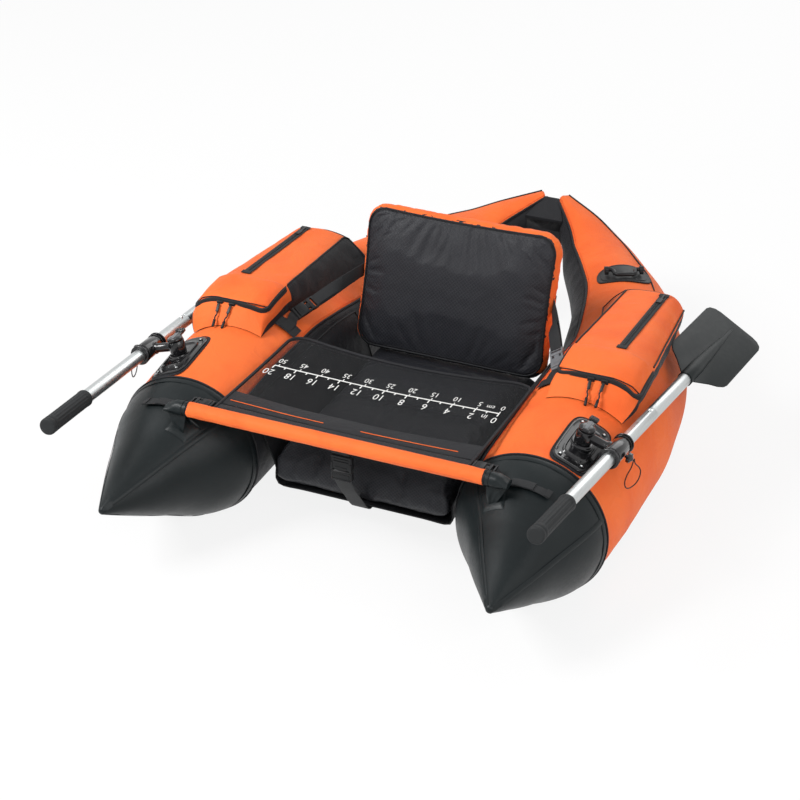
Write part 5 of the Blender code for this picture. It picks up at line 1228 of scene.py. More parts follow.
def backrest():
    mid = BACK_THICKNESS / 2
    profile = (
        (0.999, -mid - 0.0075, 0.0),
        (0.75, -mid - 0.0068, 0.0),
        (0.45, -mid - 0.0045, 0.2),
        (0.22, -mid - 0.0015, 0.5),
        (0.09, -mid * 0.93, 0.8),
        (0.030, -mid * 0.86, 1.0),
        (0.004, BACK_FRONT_SEAM, 1.0),
        (-0.034, -0.012, 0.5),
        (-0.048, 0.0, 0.3),
        (-0.034, 0.012, 0.5),
        (0.004, BACK_REAR_SEAM, 1.0),
        (0.03, mid * 0.86, 1.0),
        (0.12, mid * 0.95, 0.8),
        (0.40, mid - 0.001, 0.3),
        (0.999, mid - 0.0006, 0.0),
    )
    half_h = BACK_HEIGHT / 2
    rings = [back_ring(s * half_h, d, k * 0.006) for s, d, k in profile]
    shape = Shape().grid(rings, closed=True)
    shape.faces += caps(len(rings), len(rings[0]))
    shape.zones += [0, 0]
    obj = outward(shape.make("backrest_start", 1, RIPSTOP, None))

    def depth_of(points):
        return (points - SHIFT - BACK_MID) @ BACK_REAR

    def edge_of(points):
        """How far inside the outline a point lies, in metres."""
        flat = points - SHIFT - BACK_MID
        return np.minimum(BACK_WIDTH / 2 - abs(flat[:, 0]), half_h - abs(flat @ BACK_UP))

    def pinned(points):
        depth = depth_of(points)
        seam = np.minimum(abs(depth - BACK_FRONT_SEAM), abs(depth - BACK_REAR_SEAM)) < 0.0028
        return (seam & (edge_of(points) < 0.014)) | (depth > mid * 0.6) & (edge_of(points) > 0.05)

    obj = inflate(obj, pinned, 0.005, 0.011)
    mesh = obj.data
    points = points_of(mesh)
    flat = points - SHIFT - BACK_MID
    x, h, depth = flat[:, 0], flat @ BACK_UP, flat @ BACK_REAR
    normals = normals_of(mesh)
    edge = edge_of(points)
    around = np.arctan2(h * 1.3, x)
    run = np.where(abs(x) / BACK_WIDTH > abs(h) / BACK_HEIGHT, h, x)
    at = stacked(run * 46, np.sign(x) + np.sign(h) * 3, depth * 12)
    gather = noise_at(at) * 0.75 + noise_at(at * (2.1, 1, 1), 4.0) * 0.4
    boxing = np.clip(1 - abs(depth) / 0.014, 0, 1) * np.clip(1 - edge / 0.03, 0, 1)
    rim = np.exp(-((edge / 0.045) ** 2)) * (depth < BACK_FRONT_SEAM)
    out = abs(x) / BACK_WIDTH + abs(h) / BACK_HEIGHT
    corner = np.clip((out - 0.62) / 0.3, 0, 1) * (depth < -0.01)
    spoke = noise_at(stacked(around * 9, 0.0, 2.0))
    push = gather * (0.0028 * boxing + 0.0006 * rim) + spoke * 0.0018 * corner
    move_points(mesh, points + normals * push[:, None])
    subdivided(obj)

    def zone_of(centres, normals):
        flat = centres - BACK_MID
        depth = flat @ BACK_REAR
        side = (depth > BACK_FRONT_SEAM) & (depth < BACK_REAR_SEAM)
        side &= abs(normals @ BACK_REAR) < 0.8
        low = (flat @ BACK_UP) < -half_h + 0.02
        return np.where(side & ~low, 1, 0)

    def cloth_of(points):
        flat = points - BACK_MID
        x, h, depth = flat[:, 0], flat @ BACK_UP, flat @ BACK_REAR
        edge = np.minimum(BACK_WIDTH / 2 - abs(x), half_h - abs(h))
        side = (abs(depth) < BACK_REAR_SEAM) & (edge < 0.02)
        run = np.where(abs(x) / BACK_WIDTH > abs(h) / BACK_HEIGHT, h, x)
        return np.where(side[:, None], stacked(run, depth), stacked(x, h))

    dress(
        obj, "backrest_pad", (RIPSTOP, ORANGE), zone_of, cloth_of, "backrest",
        "backrest_cushion"
    )
    trim = Shape()
    for depth in (BACK_FRONT_SEAM, BACK_REAR_SEAM):
        trim.tube(back_ring(-0.0006, depth, 0.006), 0.0021, 8, closed=True)
        trim.tube(back_ring(0.0008, depth * 1.2, 0.006), 0.0007, 5, closed=True)
    trim.make("backrest_piping", 1, BLACK, "backrest", "black_nylon")


def seat_half_width(v):
    return SEAT_HALF_WIDTH * (1 - 0.05 * math.sin(math.pi * v))


def seat():
    rows, columns = 48, 40
    top, low = [], []
    for i in range(rows + 1):
        v = i / rows
        y = SEAT_FRONT_Y + (SEAT_REAR_Y - SEAT_FRONT_Y) * v
        quilted = v / SEAT_PLAIN_FROM
        for bucket, upper in ((top, True), (low, False)):
            line = []
            for j in range(columns + 1):
                u = -1 + 2 * j / columns
                edge = max(max(0.0, 1 - min(v, 1 - v) / 0.07), max(0.0, 1 - (1 - abs(u)) / 0.12))
                drop = 0.030 * edge**2
                crown = (1 - abs(u) ** 3) * math.sin(math.pi * quilted) if quilted < 1 else 0.0
                groove = sum(math.exp(-(((quilted - c) / 0.05) ** 2)) for c in (1 / 3, 2 / 3))
                x = seat_half_width(v) * u
                if upper:
                    z = SEAT_TOP_Z - 0.005 + 0.010 * crown - 0.012 * groove * (1 - u * u) - drop
                else:
                    z = SEAT_BOTTOM_Z + 0.002 + drop * 0.8
                line.append((x * 0.99, y + 0.002 * (1 - 2 * v), z))
            bucket.append(line)
    top, low = np.array(top), np.array(low)
    shape = Shape()
    shape.grid(top)
    shape.grid(low)
    for a, b in (
        (top[0], low[0]), (top[-1], low[-1]), (top[:, 0], low[:, 0]), (top[:, -1], low[:, -1])
    ):
        shape.grid([a, b])
    obj = shape.make("seat_start", 1, RIPSTOP, None)
    bm = bmesh.new()
    bm.from_mesh(obj.data)
    bmesh.ops.remove_doubles(bm, verts=bm.verts, dist=1e-5)
    bmesh.ops.recalc_face_normals(bm, faces=bm.faces)
    bm.to_mesh(obj.data)
    bm.free()

    def pinned(points):
        flat = points - SHIFT
        v = (flat[:, 1] - SEAT_FRONT_Y) / (SEAT_REAR_Y - SEAT_FRONT_Y)
        quilted = v / SEAT_PLAIN_FROM
        groove = np.minimum(abs(quilted - 1 / 3), abs(quilted - 2 / 3)) < 0.012
        edge = seat_half_width(0.5) - abs(flat[:, 0])
        level = abs(flat[:, 2] - 0.150) < 0.003
        sewn = (groove & (flat[:, 2] > 0.15)) | (level & (edge < 0.02))
        return sewn | (flat[:, 2] < 0.100) | (v > 0.86)

    obj = inflate(obj, pinned, 0.006, 0.009, 3.0)
    mesh = obj.data
    points = points_of(mesh)
    flat = points - SHIFT
    normals = normals_of(mesh)
    front = np.exp(-(((flat[:, 1] - SEAT_FRONT_Y) / 0.06) ** 2))
    at = stacked(flat[:, 0] * 30, flat[:, 2] * 9, flat[:, 1] * 4)
    push = noise_at(at) * (0.0010 + 0.0020 * front)
    points += normals * push[:, None]
    points[:, 2] = np.maximum(points[:, 2], SEAT_BOTTOM_Z + 0.0004)
    move_points(mesh, points)
    subdivided(obj)

    def cloth_of(points):
        return np.stack((points[:, 0], points[:, 1] + points[:, 2]), -1)

    dress(
        obj, "seat_pad", (RIPSTOP,), lambda c, n: np.zeros(len(c)), cloth_of, "hull",
        "seat_cushion"
    )


def seat_sling():
    """The hammock's fabric, hung between the pontoons and drawn under the seat."""
    ys = np.linspace(SLING_FRONT_Y, SLING_REAR_Y, 40)
    floor_z = SEAT_BOTTOM_Z - 0.0019
    side_least = SEAT_HALF_WIDTH + 0.0064
    rows = []
    for y in ys:
        shoulder = skin(y, np.array((142.0, 153.0, 171.0, 189.0)), 0.003)
        side_x = min(side_least, shoulder[:, 0].min())
        path = [
            (shoulder[0, 0], y, min(shoulder[0, 2], SLING_TOP_Z)),
            shoulder[1],
            shoulder[2],
            (min(side_x, shoulder[3, 0]), y, shoulder[3, 2]),
            (side_x, y, floor_z + 0.022),
            (side_x - 0.011, y, floor_z),
            (side_x - 0.07, y, floor_z),
            (0, y, floor_z),
        ]
        half = resampled(curve_through(path, 6), 30)
        half[-10:, 2] = np.maximum(half[-10:, 2], floor_z - 0.001)
        wave = noise_at(stacked(half[:, 2] * 14, y * 16, 3.0))
        fade = np.sin(np.linspace(0, math.pi, 30)) ** 0.5
        half[:, 0] -= (wave * 0.5 + 0.5) * 0.003 * fade * (half[:, 2] > floor_z + 0.02)
        rows.append(np.concatenate((half, half[-2::-1] * (-1, 1, 1))))
    rows = np.array(rows)
    shape = Shape().grid(rows)
    obj = shape.make("sling_cloth", 1, BLACK, "hull", "black_nylon", "seat_sling")
    hem = Shape()
    for row in (rows[0], rows[-1]):
        hem.tube(row, 0.0019, 8)
    for column in (0, -1):
        hem.tube(rows[:, column], 0.0022, 8)
    hem_piece = hem.make("sling_hem", 1, WEB, "hull", "webbing")


backrest()
seat()
seat_sling()

# Apron


def apron_point(u, v):
    """u from -1 to 1 across, v from 0 at the bar to 1 at the rear edge."""
    rear = APRON_REAR_Y - APRON_BOW * (1 - u * u)
    corner = np.clip((abs(u) - 0.8) / 0.2, 0, 1)
    rear = rear - APRON_CORNER * (1 - np.sqrt(1 - corner**2)) * v**3
    y = APRON_FRONT_Y + (rear - APRON_FRONT_Y) * v
    z = APRON_Z + (BAR_Z - APRON_Z) * (1 - v) ** 2 - APRON_SAG * np.sin(math.pi * v) * (1 - u * u)
    found = noise.noise(Vector((u * 2.2, v * 2.0, 1.0)))
    wave = found * 0.0022 * math.sin(math.pi * v) * (1 - u**4)
    return vec(APRON_HALF_WIDTH * u, y, z + wave)


def apron():
    us, vs = np.linspace(-1, 1, 81), np.linspace(0, 1, 49)
    rows = np.array([[apron_point(u, v) for u in us] for v in vs])
    shape = Shape().grid(rows, cloth=rows[..., :2])
    obj = shape.make("apron_mesh", 1, MESH, "apron", "mesh_fabric", "mesh_apron")
    border = Shape()

    def band(line_a, line_b, lift=0.0012):
        """A thin strip with rounded edges between two lines across the apron."""
        up = (0, 0, lift)
        near, far = line_a * 0.9 + line_b * 0.1, line_a * 0.1 + line_b * 0.9
        border.grid([line_a, near + up, (line_a + line_b) / 2 + up, far + up, line_b])
        border.grid([line_b, far - up, near - up, line_a])

    lines = [np.array([apron_point(u, v) for u in us]) for v in (0.085, 0.10, 0.255)]
    band(rows[0], lines[0])
    band(lines[1], lines[2], 0.0009)
    border.make("apron_front_band", 1, BLACK, "apron", "black_nylon")
    edges = Shape()
    edge = np.concatenate((rows[:, 0], rows[-1, 1:-1], rows[::-1, -1]))
    edge = resampled(edge, 160)
    edge[:, 0] = np.clip(edge[:, 0], -APRON_HALF_WIDTH + 0.001, APRON_HALF_WIDTH - 0.001)
    edges.tube(edge, 0.0036, 10)
    inside = np.array([apron_point(u, 0.962) for u in np.linspace(-0.975, 0.975, 60)])
    edges.tube(inside + (0, 0, 0.0008), 0.0006, 5)
    edges.make("apron_binding", 1, BLACK, "apron", "black_nylon")
    velcro = Shape()
    for low, high in ((-0.264, -0.052), (0.030, 0.238)):
        xs = np.linspace(low, high, 30)
        line = [apron_point(x / APRON_HALF_WIDTH, 0.145) + (0, 0, 0.0016) for x in xs]
        velcro.tube(line, 0.0009, 6)
    velcro.make("apron_accent", 1, ORANGE, "apron", "orange_nylon")
    ruler()


def printed_text(text, size, at):
    curve = bpy.data.curves.new("print", "FONT")
    curve.body, curve.size = text, size
    curve.align_x, curve.align_y = "CENTER", "CENTER"
    curve.resolution_u = 3
    obj = bpy.data.objects.new("print", curve)
    bpy.context.scene.collection.objects.link(obj)
    mesh = evaluated_mesh(obj)
    points = points_of(mesh)
    faces = [list(p.vertices) for p in mesh.polygons]
    bpy.data.objects.remove(obj)
    return points, faces, at


def ruler():
    """A printed scale: inches along its front side and centimetres along its rear side."""
    start, inch, line_y, narrow = 0.254, 0.0254, -0.079, 0.72
    texts = [
        printed_text(str(value), 0.033, (start - value * inch, line_y - 0.029))
        for value in range(0, 21, 2)
    ]
    texts += [
        printed_text(str(value), 0.025, (start - value * inch / 2.54, line_y + 0.024))
        for value in range(0, 51, 5)
    ]
    texts.append(printed_text("in", 0.026, (start - 0.95 * inch, line_y - 0.022)))
    texts.append(printed_text("cm", 0.021, (start - 0.026, line_y + 0.020)))
    shape = Shape()

    def lay(x, y):
        u = np.clip(x / APRON_HALF_WIDTH, -1, 1)
        v = (y - APRON_FRONT_Y) / (APRON_REAR_Y - APRON_BOW * (1 - u * u) - APRON_FRONT_Y)
        return apron_point(u, v)[2] + 0.0016

    for points, faces, (x, y) in texts:
        spots = [(x - p[0] * narrow, y - p[1]) for p in points]
        shape.take([(a, b, lay(a, b)) for a, b in spots], faces)

    def mark(x, half, low, high):
        quad = ((x + half, low), (x - half, low), (x - half, high), (x + half, high))
        shape.take([(a, b, lay(a, b)) for a, b in quad], [(0, 1, 2, 3)])

    for k in range(21):
        reach = 0.0125 if k % 2 == 0 else 0.0075
        mark(start - k * inch, 0.0014, line_y - reach, line_y)
    for k in range(0, 51, 5):
        mark(start - k * 0.01, 0.0011, line_y, line_y + 0.0085)
    xs = np.linspace(start, start - 20 * inch, 60)
    line = [[(x, line_y + k, lay(x, line_y) + 0.0002) for x in xs] for k in (-0.0019, 0.0019)]
    shape.grid(line)
    shape.make("ruler_print", 1, PRINT, "apron", "mesh_fabric")


def bar_hem():
    """The orange sleeve round the bar, gathered at its ends."""
    xs = np.linspace(-HEM_HALF_LENGTH, HEM_HALF_LENGTH, 150)
    around = turns(RING_SIDES)
    rows = []
    for x in xs:
        close = math.exp(-(((HEM_HALF_LENGTH - abs(x)) / 0.05) ** 2))
        at = stacked(x * 55, np.cos(around) * 1.3, np.sin(around) * 1.3)
        gather = noise_at(at) * (0.0003 + 0.0014 * close)
        reach = HEM_RADIUS + 0.0006 + gather
        rows.append(stacked(x, BAR_Y + np.cos(around) * reach, BAR_Z + np.sin(around) * reach))
    shape = Shape().grid(rows, closed=True)
    shape.make("apron_hem_cloth", 1, ORANGE, "apron", "orange_nylon", "apron_hem")
    trim = Shape()
    for x in (-HEM_HALF_LENGTH, HEM_HALF_LENGTH):
        ring = [(x, BAR_Y + math.cos(a) * 0.0150, BAR_Z + math.sin(a) * 0.0150) for a in around]
        trim.tube(ring, 0.0013, 6, closed=True)
    line = [(x, BAR_Y + 0.0166, BAR_Z + 0.0018) for x in np.linspace(-0.318, 0.318, 60)]
    trim.tube(line, 0.0018, 8)
    trim.make("apron_hem_trim", 1, BLACK, "apron", "black_nylon")


bar_hem()
apron()

# Straps, buckles and bar ends


def side_release(shape, centre, axes, halves, zone=0):
    """A side-release buckle along the first axis: shell, mouth, prong shoulders and ladder bar."""
    along, wide, over = axes
    length, width, thick = halves

    def piece(at, off, up, size, bevel=0.35):
        middle = centre + along * (length * at) + wide * (width * off) + over * (thick * up)
        parts = (length * size[0], width * size[1], thick * size[2])
        shape.block(middle, axes, parts, min(parts) * bevel * 1.6, zone)

    for at, off, size in (
        (-0.30, 0, (0.42, 1.0, 1.0)),
        (-0.84, 0, (0.10, 0.95, 0.75)),
        (-0.78, 0.86, (0.20, 0.12, 0.7)),
        (0.26, 0, (0.16, 0.42, 0.72)),
        (0.22, 0.80, (0.15, 0.16, 0.78)),
        (0.52, 0, (0.14, 0.98, 0.95)),
        (0.92, 0, (0.08, 0.95, 0.75)),
        (0.74, 0.86, (0.22, 0.12, 0.7)),
    ):
        for way in (1, -1) if off else (1,):
            piece(at, off * way, 0, size)
    for at in (-0.52, -0.42, -0.32):
        piece(at, 0, 1.0, (0.025, 0.55, 0.10))


def ribbon(shape, points, sides, width=STRAP_WIDTH, thickness=STRAP_THICKNESS, zone=0, per_span=8):
    """Webbing along a smooth curve, turning from one side direction to the next."""
    path = curve_through(points, per_span)
    turned = unit(curve_through(np.asarray(sides, float), per_span)) * width / 2
    return shape.strap(path, turned, thickness, zone)


def bar_end(name, side):
    """The sleeve over the bar's end, flattened past it, and its folded tab on the cone."""
    start, end = HEM_HALF_LENGTH + 0.0012, 0.3724
    around = turns(48)
    rows = []
    for i, x in enumerate(np.linspace(start, end, 22)):
        t = i / 21
        wide = 0.0154 * (1 + 0.10 * t)
        high = 0.0154 * (1 - 0.62 * max(0.0, (t - 0.5) / 0.5) ** 1.4)
        at = stacked(x * 70, np.cos(around) * 1.5, np.sin(around) * 1.5 + side)
        fold = noise_at(at) * (0.0005 + 0.0012 * t)
        y = BAR_Y + np.cos(around) * (wide + fold)
        z = BAR_Z + np.sin(around) * (high + fold) - 0.004 * t**2
        rows.append(stacked(x, y, z))
    middle = rows[-1].mean(0)
    for share in (0.7, 0.3, 0.02):
        rows.append(middle + (rows[-1] - middle) * share)
    shape = Shape().grid(rows, closed=True)
    v, u = np.meshgrid(np.linspace(-1, 1, 13), np.linspace(-1, 1, 17), indexing="ij")
    lift = 0.0004 + 0.0032 * (1 - np.maximum(abs(u), abs(v)) ** 8)
    shape.grid(skin(-0.328 + 0.020 * v, 117.0 + 13.0 * u, lift))
    share = np.linspace(0, 1, 14)
    for way in (-1, 1):
        rows = []
        for s in np.linspace(0, 1, 12):
            upper = np.full((14, 3), (0, BAR_Y + way * 0.006, BAR_Z - 0.0125))
            upper[:, 0] = start + 0.004 + (end - start - 0.008) * share
            lower = skin(-0.328 + way * 0.010, 122.0 - 10.0 * share, 0.0034)
            line = upper + (lower - upper) * s
            belly = math.sin(math.pi * s)
            fold = noise_at(stacked(share * 3.2, s * 1.6, way * 2.0 + side))
            line[:, 1] += way * belly * (0.0015 + 0.004 * fold)
            rows.append(line)
        shape.grid(rows)
    shape.make(f"bar_end_{name}", side, PVC, "hull", "grey_pvc", f"bar_end_sleeve_{name}")
    hem = Shape()
    for x in (start + 0.0015, start + 0.010):
        ring = [(x, BAR_Y + math.cos(a) * 0.0159, BAR_Z + math.sin(a) * 0.0159) for a in around]
        hem.tube(ring, 0.0010, 6, closed=True)
    hem.make(f"bar_end_hem_{name}", side, PVC, "hull", "grey_pvc")


def bow_strap(name, side):
    """Webbing over the nose cone and its buckle beside the apron's edge."""
    lay = skin(-0.297, np.linspace(66, 108, 16), 0.0024)
    end = vec(0.331, -0.297, 0.3112)
    path = np.concatenate((lay, [lay[-1] * 0.5 + end * 0.5 + (0, 0, 0.0012), end]))
    shape = Shape().strap(path, (0, STRAP_WIDTH / 2, 0))
    tail = skin(-0.2985, np.linspace(80, 100, 8), 0.0050) + (0, 0, 0.0006)
    shape.strap(tail, (0, STRAP_WIDTH * 0.48, 0))
    shape.strap(skin(-0.297, np.linspace(65.5, 70, 4), 0.0042), (0, STRAP_WIDTH * 0.48, 0))
    shape.make(f"bow_webbing_{name}", side, WEB, "hull", "webbing", f"bow_strap_{name}")
    buckle = Shape()
    axes = (vec(1, 0, 0), vec(0, 1, 0), UP)
    side_release(buckle, vec(0.308, -0.297, 0.3105), axes, (0.025, 0.0145, 0.0052))
    buckle.make(f"bow_buckle_{name}", side, PLASTIC, "hull", "black_plastic")


def crotch_strap():
    """Webbing from the bar to the buckle, and from the buckle under the seat."""
    half = vec(0.0193, 0, 0)
    upper = Shape()
    path = curve_through(
        [(0, -0.2862, 0.2575), (0, -0.2895, 0.2630), (0, -0.3205, 0.2912), (0, -0.3330, 0.2934)], 8
    )
    upper.strap(path, half, 0.0030)
    upper.strap(path[:18] + (0, -0.0032, 0.0004), half * 0.98, 0.0020)
    upper.make("crotch_webbing_upper", 1, WEB, "hull", "webbing")
    points = [
        (0, -0.286, 0.1982), (0, -0.262, 0.160), (0, -0.2365, 0.1262), (0, -0.216, 0.0990),
        (0, -0.197, 0.0832), (0, -0.172, 0.0815), (0, -0.140, 0.0820)
    ]
    lower = Shape()
    path = curve_through(points, 7)
    path[:, 0] += np.sin(np.linspace(0, math.pi, len(path))) * 0.0015
    lower.strap(path, half, 0.0022)
    obj = lower.make("crotch_webbing_lower", 1, WEB, None, "webbing", "crotch_strap_tail")
    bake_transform(obj)
    socket = Shape()
    front = -0.2930
    for z in (0.2505, 0.2440):
        socket.block((0, front - 0.0004, z), np.eye(3), (0.0165, 0.0010, 0.0016), 0.0007)
    for s in (-1, 1):
        socket.block(
            (s * 0.0205, front + 0.0010, 0.2330), np.eye(3), (0.0022, 0.0020, 0.0090), 0.0009
        )
    socket.block((0, front - 0.0002, 0.2290), np.eye(3), (0.0130, 0.0009, 0.0030), 0.0008)
    socket.block((0, front + 0.0005, 0.2560), np.eye(3), (0.0225, 0.0018, 0.0022), 0.0009)
    socket.make("crotch_socket_trim", 1, PLASTIC, "hull", "black_plastic")
    prong = Shape()
    for z in (0.2190, 0.2025):
        prong.block((0, front - 0.0003, z), np.eye(3), (0.0215, 0.0012, 0.0018), 0.0008)
    prong.block((0, front - 0.0004, 0.2108), np.eye(3), (0.0175, 0.0008, 0.0050), 0.0007)
    prong.make("crotch_prong_trim", 1, PLASTIC, "crotch_buckle", "black_plastic")


def back_strap(name, side):
    """Anchor webbing and buckle on the cover, and the strap on to the backrest's side."""
    grip = BACK_PIVOT + BACK_UP * (BACK_HEIGHT * 0.47) + (BACK_WIDTH / 2 - 0.0024, 0, 0)
    centre = skin(0.150, 120.0, 0.018)
    toward = unit(grip - centre)
    normal = skin(0.150, 120.0, 0.006) - skin(0.150, 120.0)
    wide = unit(np.cross(toward, normal))
    over = unit(np.cross(wide, toward))
    buckle = Shape()
    side_release(buckle, centre, (toward, wide, over), (0.0315, 0.0155, 0.0057))
    # Painted glint: the left buckle shell is drawn in grey plastic for the shine on it, while the
    # right one stays black.
    finish = GREY_PLASTIC_PAINTED_GLINT if side > 0 else PLASTIC
    buckle.make(
        f"back_buckle_shell_{name}", side, finish, "hull", "black_plastic", f"back_buckle_{name}"
    )
    start = centre - toward * 0.0275
    anchor, far = skin(0.098, 120.0, 0.0036), skin(0.066, 120.0, 0.0018)
    tangent = skin(0.098, 111.0) - skin(0.098, 129.0)
    tangent = unit(tangent * (1, 0, 1))
    facing = wide if np.dot(wide, tangent) > 0 else -wide
    anchored = Shape()
    ribbon(
        anchored, [start, start * 0.45 + anchor * 0.55 + (0, 0, 0.002), anchor, far],
        [facing, facing + tangent, tangent, tangent]
    )
    pad = [skin(y, np.linspace(110, 130, 9), 0.0024) for y in np.linspace(0.062, 0.100, 8)]
    anchored.grid(pad)
    anchored.make(f"back_anchor_{name}", side, WEB, "hull", "webbing")
    first = centre + toward * 0.0275
    last = grip + (0.0026, 0, 0)
    middle = first + (last - first) * 0.6 + (0.0020, 0, 0)
    tip = last + BACK_REAR * 0.0175
    first_side = wide if np.dot(wide, BACK_UP) > 0 else -wide
    turned = unit(first_side * 0.3 + BACK_UP * 0.7)
    strap = Shape()
    ribbon(strap, [first, middle, last, tip], [first_side, turned, BACK_UP, BACK_UP], width=0.030)
    loose = [
        first + over * 0.004, first + (last - first) * 0.30 + over * 0.007,
        first + (last - first) * 0.52 + over * 0.010 - UP * 0.004
    ]
    ribbon(strap, loose, [first_side, first_side, turned])
    tag = first + (last - first) * 0.62 + (0.0036, 0, 0)
    strap.block(
        tag, (toward, turned, unit(np.cross(toward, turned))), (0.020, 0.0105, 0.0008), 0.0006,
        zone=1
    )
    obj = strap.make(f"back_webbing_{name}", side, (WEB, GREY_WEB), None)
    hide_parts(f"back_strap_{name}")
    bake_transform(obj)


crotch_strap()
for side_name, side_sign in SIDES:
    bar_end(side_name, side_sign)
    bow_strap(side_name, side_sign)
    back_strap(side_name, side_sign)

# Oarlocks and oars


def rounded(turn, power=5.0):
    """A point of a rounded rectangle's outline, from -1 to 1 on both axes."""
    c, s = np.cos(turn), np.sin(turn)
    return np.sign(c) * abs(c) ** (2 / power), np.sign(s) * abs(s) ** (2 / power)


def screw_places(lift):
    """The base plate's four screws at this height over the cover, each with its way out."""
    for y in (-0.058, 0.058):
        for angle in (-8.5, 8.5):
            at = skin(LOCK_Y + y, LOCK_MIDDLE + angle, lift)
            yield at, unit(skin(LOCK_Y + y, LOCK_MIDDLE + angle, 0.02) - at)


def oarlock(name, side):
    """Cloth patch, moulded base plate with rim and screws, post, and the swivel's cap and lever."""
    turn = turns(72)
    a, b = rounded(turn)

    def plate(profile, half_y, half_angle, power_a, power_b):
        return [
            skin(LOCK_Y + half_y * r * power_a, LOCK_MIDDLE + half_angle * r * power_b, lift)
            for r, lift in profile
        ]

    patch = Shape().grid(
        plate(((1.0, 0.0002), (0.985, 0.0012), (0.93, 0.0014), (0.0, 0.0014)), 0.0815, 16.3, a, b),
        closed=True
    )
    patch.tube(skin(LOCK_Y + 0.0790 * a, LOCK_MIDDLE + 15.7 * b, 0.0014), 0.0007, 5, closed=True)
    patch.make(f"oarlock_patch_{name}", side, BLACK, "hull", "black_nylon")
    profile = (
        (1.0, 0.0006),
        (0.995, 0.0032),
        (0.965, 0.0046),
        (0.90, 0.0048),
        (0.88, 0.0040),
        (0.70, 0.0040),
        (0.67, 0.0072),
        (0.61, 0.0076),
        (0.57, 0.0044),
        (0.0, 0.0044),
    )
    shape = Shape().grid(plate(profile, 0.075, 14.5, a, b), closed=True)
    axis = lock_axis()
    foot = post_base() - axis * 0.002
    turned = (
        (0, 0.0245),
        (0.0035, 0.0240),
        (0.0050, 0.0210),
        (0.0070, 0.0205),
        (0.0080, 0.0140),
        (0.0080, 0.0090),
        (0.0430, 0.0090),
        (0.0450, 0.0072),
    )
    shape.lathe(foot, axis, turned, 48)
    boss = (
        (0, 0.0046), (0.0012, 0.0044), (0.0020, 0.0032), (0.0021, 0.0018), (0.0012, 0.0016),
        (0.0012, 0.0)
    )
    for at, out in screw_places(0.0040):
        shape.lathe(at, out, boss, 20)
    shape.make(
        f"oarlock_plate_{name}", side, GLOSS, "hull", "gloss_black_plastic", f"oarlock_base_{name}",
        sharp=40
    )
    screws = Shape()
    for at, out in screw_places(0.0056):
        screws.lathe(at, out, ((0, 0.0026), (0.0010, 0.0024), (0.0014, 0.0014)), 16)
    screws.make(f"oarlock_screws_{name}", side, ALUMINIUM, "hull", "aluminium")
    cap = Shape()
    cap.lathe(
        post_base() + axis * 0.0352, axis,
        (
            (0, 0.0150), (0.0012, 0.0168), (0.0045, 0.0168), (0.0065, 0.0150), (0.0085, 0.0095),
            (0.0090, 0.0)
        ),
        40
    )
    back = unit(oar_direction() - axis * np.dot(oar_direction(), axis))
    wide = np.cross(axis, back)
    lever = post_base() + axis * 0.0405 + back * 0.008
    cap.block(lever, (back, wide, axis), (0.024, 0.0085, 0.0032), 0.0025)
    cap.block(
        lever + back * 0.022 + axis * 0.0022, (back, wide, axis), (0.007, 0.0100, 0.0038), 0.0026
    )
    for k in range(4):
        cap.block(
            lever + back * (0.017 + 0.003 * k) + axis * 0.0062, (back, wide, axis),
            (0.0008, 0.0085, 0.0006), 0.0004
        )
    cap.make(f"oarlock_cap_{name}", side, GLOSS, f"oarlock_{name}", "gloss_black_plastic")
    # Painted highlight: a thin grey strip along the top of the gloss black lever stands for its
    # shine.
    strip = Shape().block(
        lever - back * 0.004 + axis * 0.0034, (back, wide, axis), (0.0150, 0.0032, 0.0006), 0.0004
    )
    strip.make(
        f"oarlock_lever_painted_highlight_{name}", side, GREY_PLASTIC_PAINTED_GLINT, f"oarlock_{name}", "gloss_black_plastic"
    )
    rings = Shape()
    around = circle(oar_direction(), 48)
    for d, thick in ((-0.0405, 0.0017), (-0.031, 0.0008), (0.031, 0.0008), (0.0405, 0.0017)):
        rings.tube(oar_point(d) + around * (COLLAR_RADIUS + 0.0004), thick, 8, closed=True)
    rings.make(f"collar_rings_{name}", side, GLOSS, f"oar_{name}", "gloss_black_plastic")


def oar_grip(name, side):
    """The fluted rubber grip with its ringed ends."""
    turn = turns(96)
    around = circle(oar_direction(), 96)
    rows = []
    profile = [
        (GRIP_FRONT - 0.0040, 0.60, 0), (GRIP_FRONT - 0.0040, 0.86, 0),
        (GRIP_FRONT - 0.0030, 0.97, 0), (GRIP_FRONT - 0.0010, 1.02, 0),
        (GRIP_FRONT + 0.003, 1.03, 0), (GRIP_FRONT + 0.006, 1.02, 0), (GRIP_FRONT + 0.007, 0.97, 0),
        (GRIP_FRONT + 0.009, 0.97, 0), (GRIP_FRONT + 0.010, 1.02, 0), (GRIP_FRONT + 0.016, 1.02, 0)
    ]
    profile += [(d, 0.985, 1) for d in np.linspace(GRIP_FRONT + 0.018, GRIP_REAR - 0.014, 24)]
    profile += [
        (GRIP_REAR - 0.012, 1.0, 0), (GRIP_REAR - 0.006, 1.04, 0), (GRIP_REAR - 0.002, 1.04, 0),
        (GRIP_REAR, 1.0, 0), (GRIP_REAR, 0.84, 0)
    ]
    for d, share, flute in profile:
        reach = GRIP_RADIUS * share * (1 + flute * (0.030 * np.cos(turn * 16) - 0.010))
        rows.append(oar_point(d, name) + around * reach[:, None])
    shape = Shape().grid(rows, closed=True).fill(len(turn), 0, len(rows) - 1)
    shape.make(f"grip_{name}", side, RUBBER, f"oar_{name}", "grip_rubber", f"oar_grip_{name}")


# Carry handles

HANDLE_AHEAD, HANDLE_ACROSS = vec(-0.43192, 0.90191, 0), vec(0.90191, 0.43192, 0)


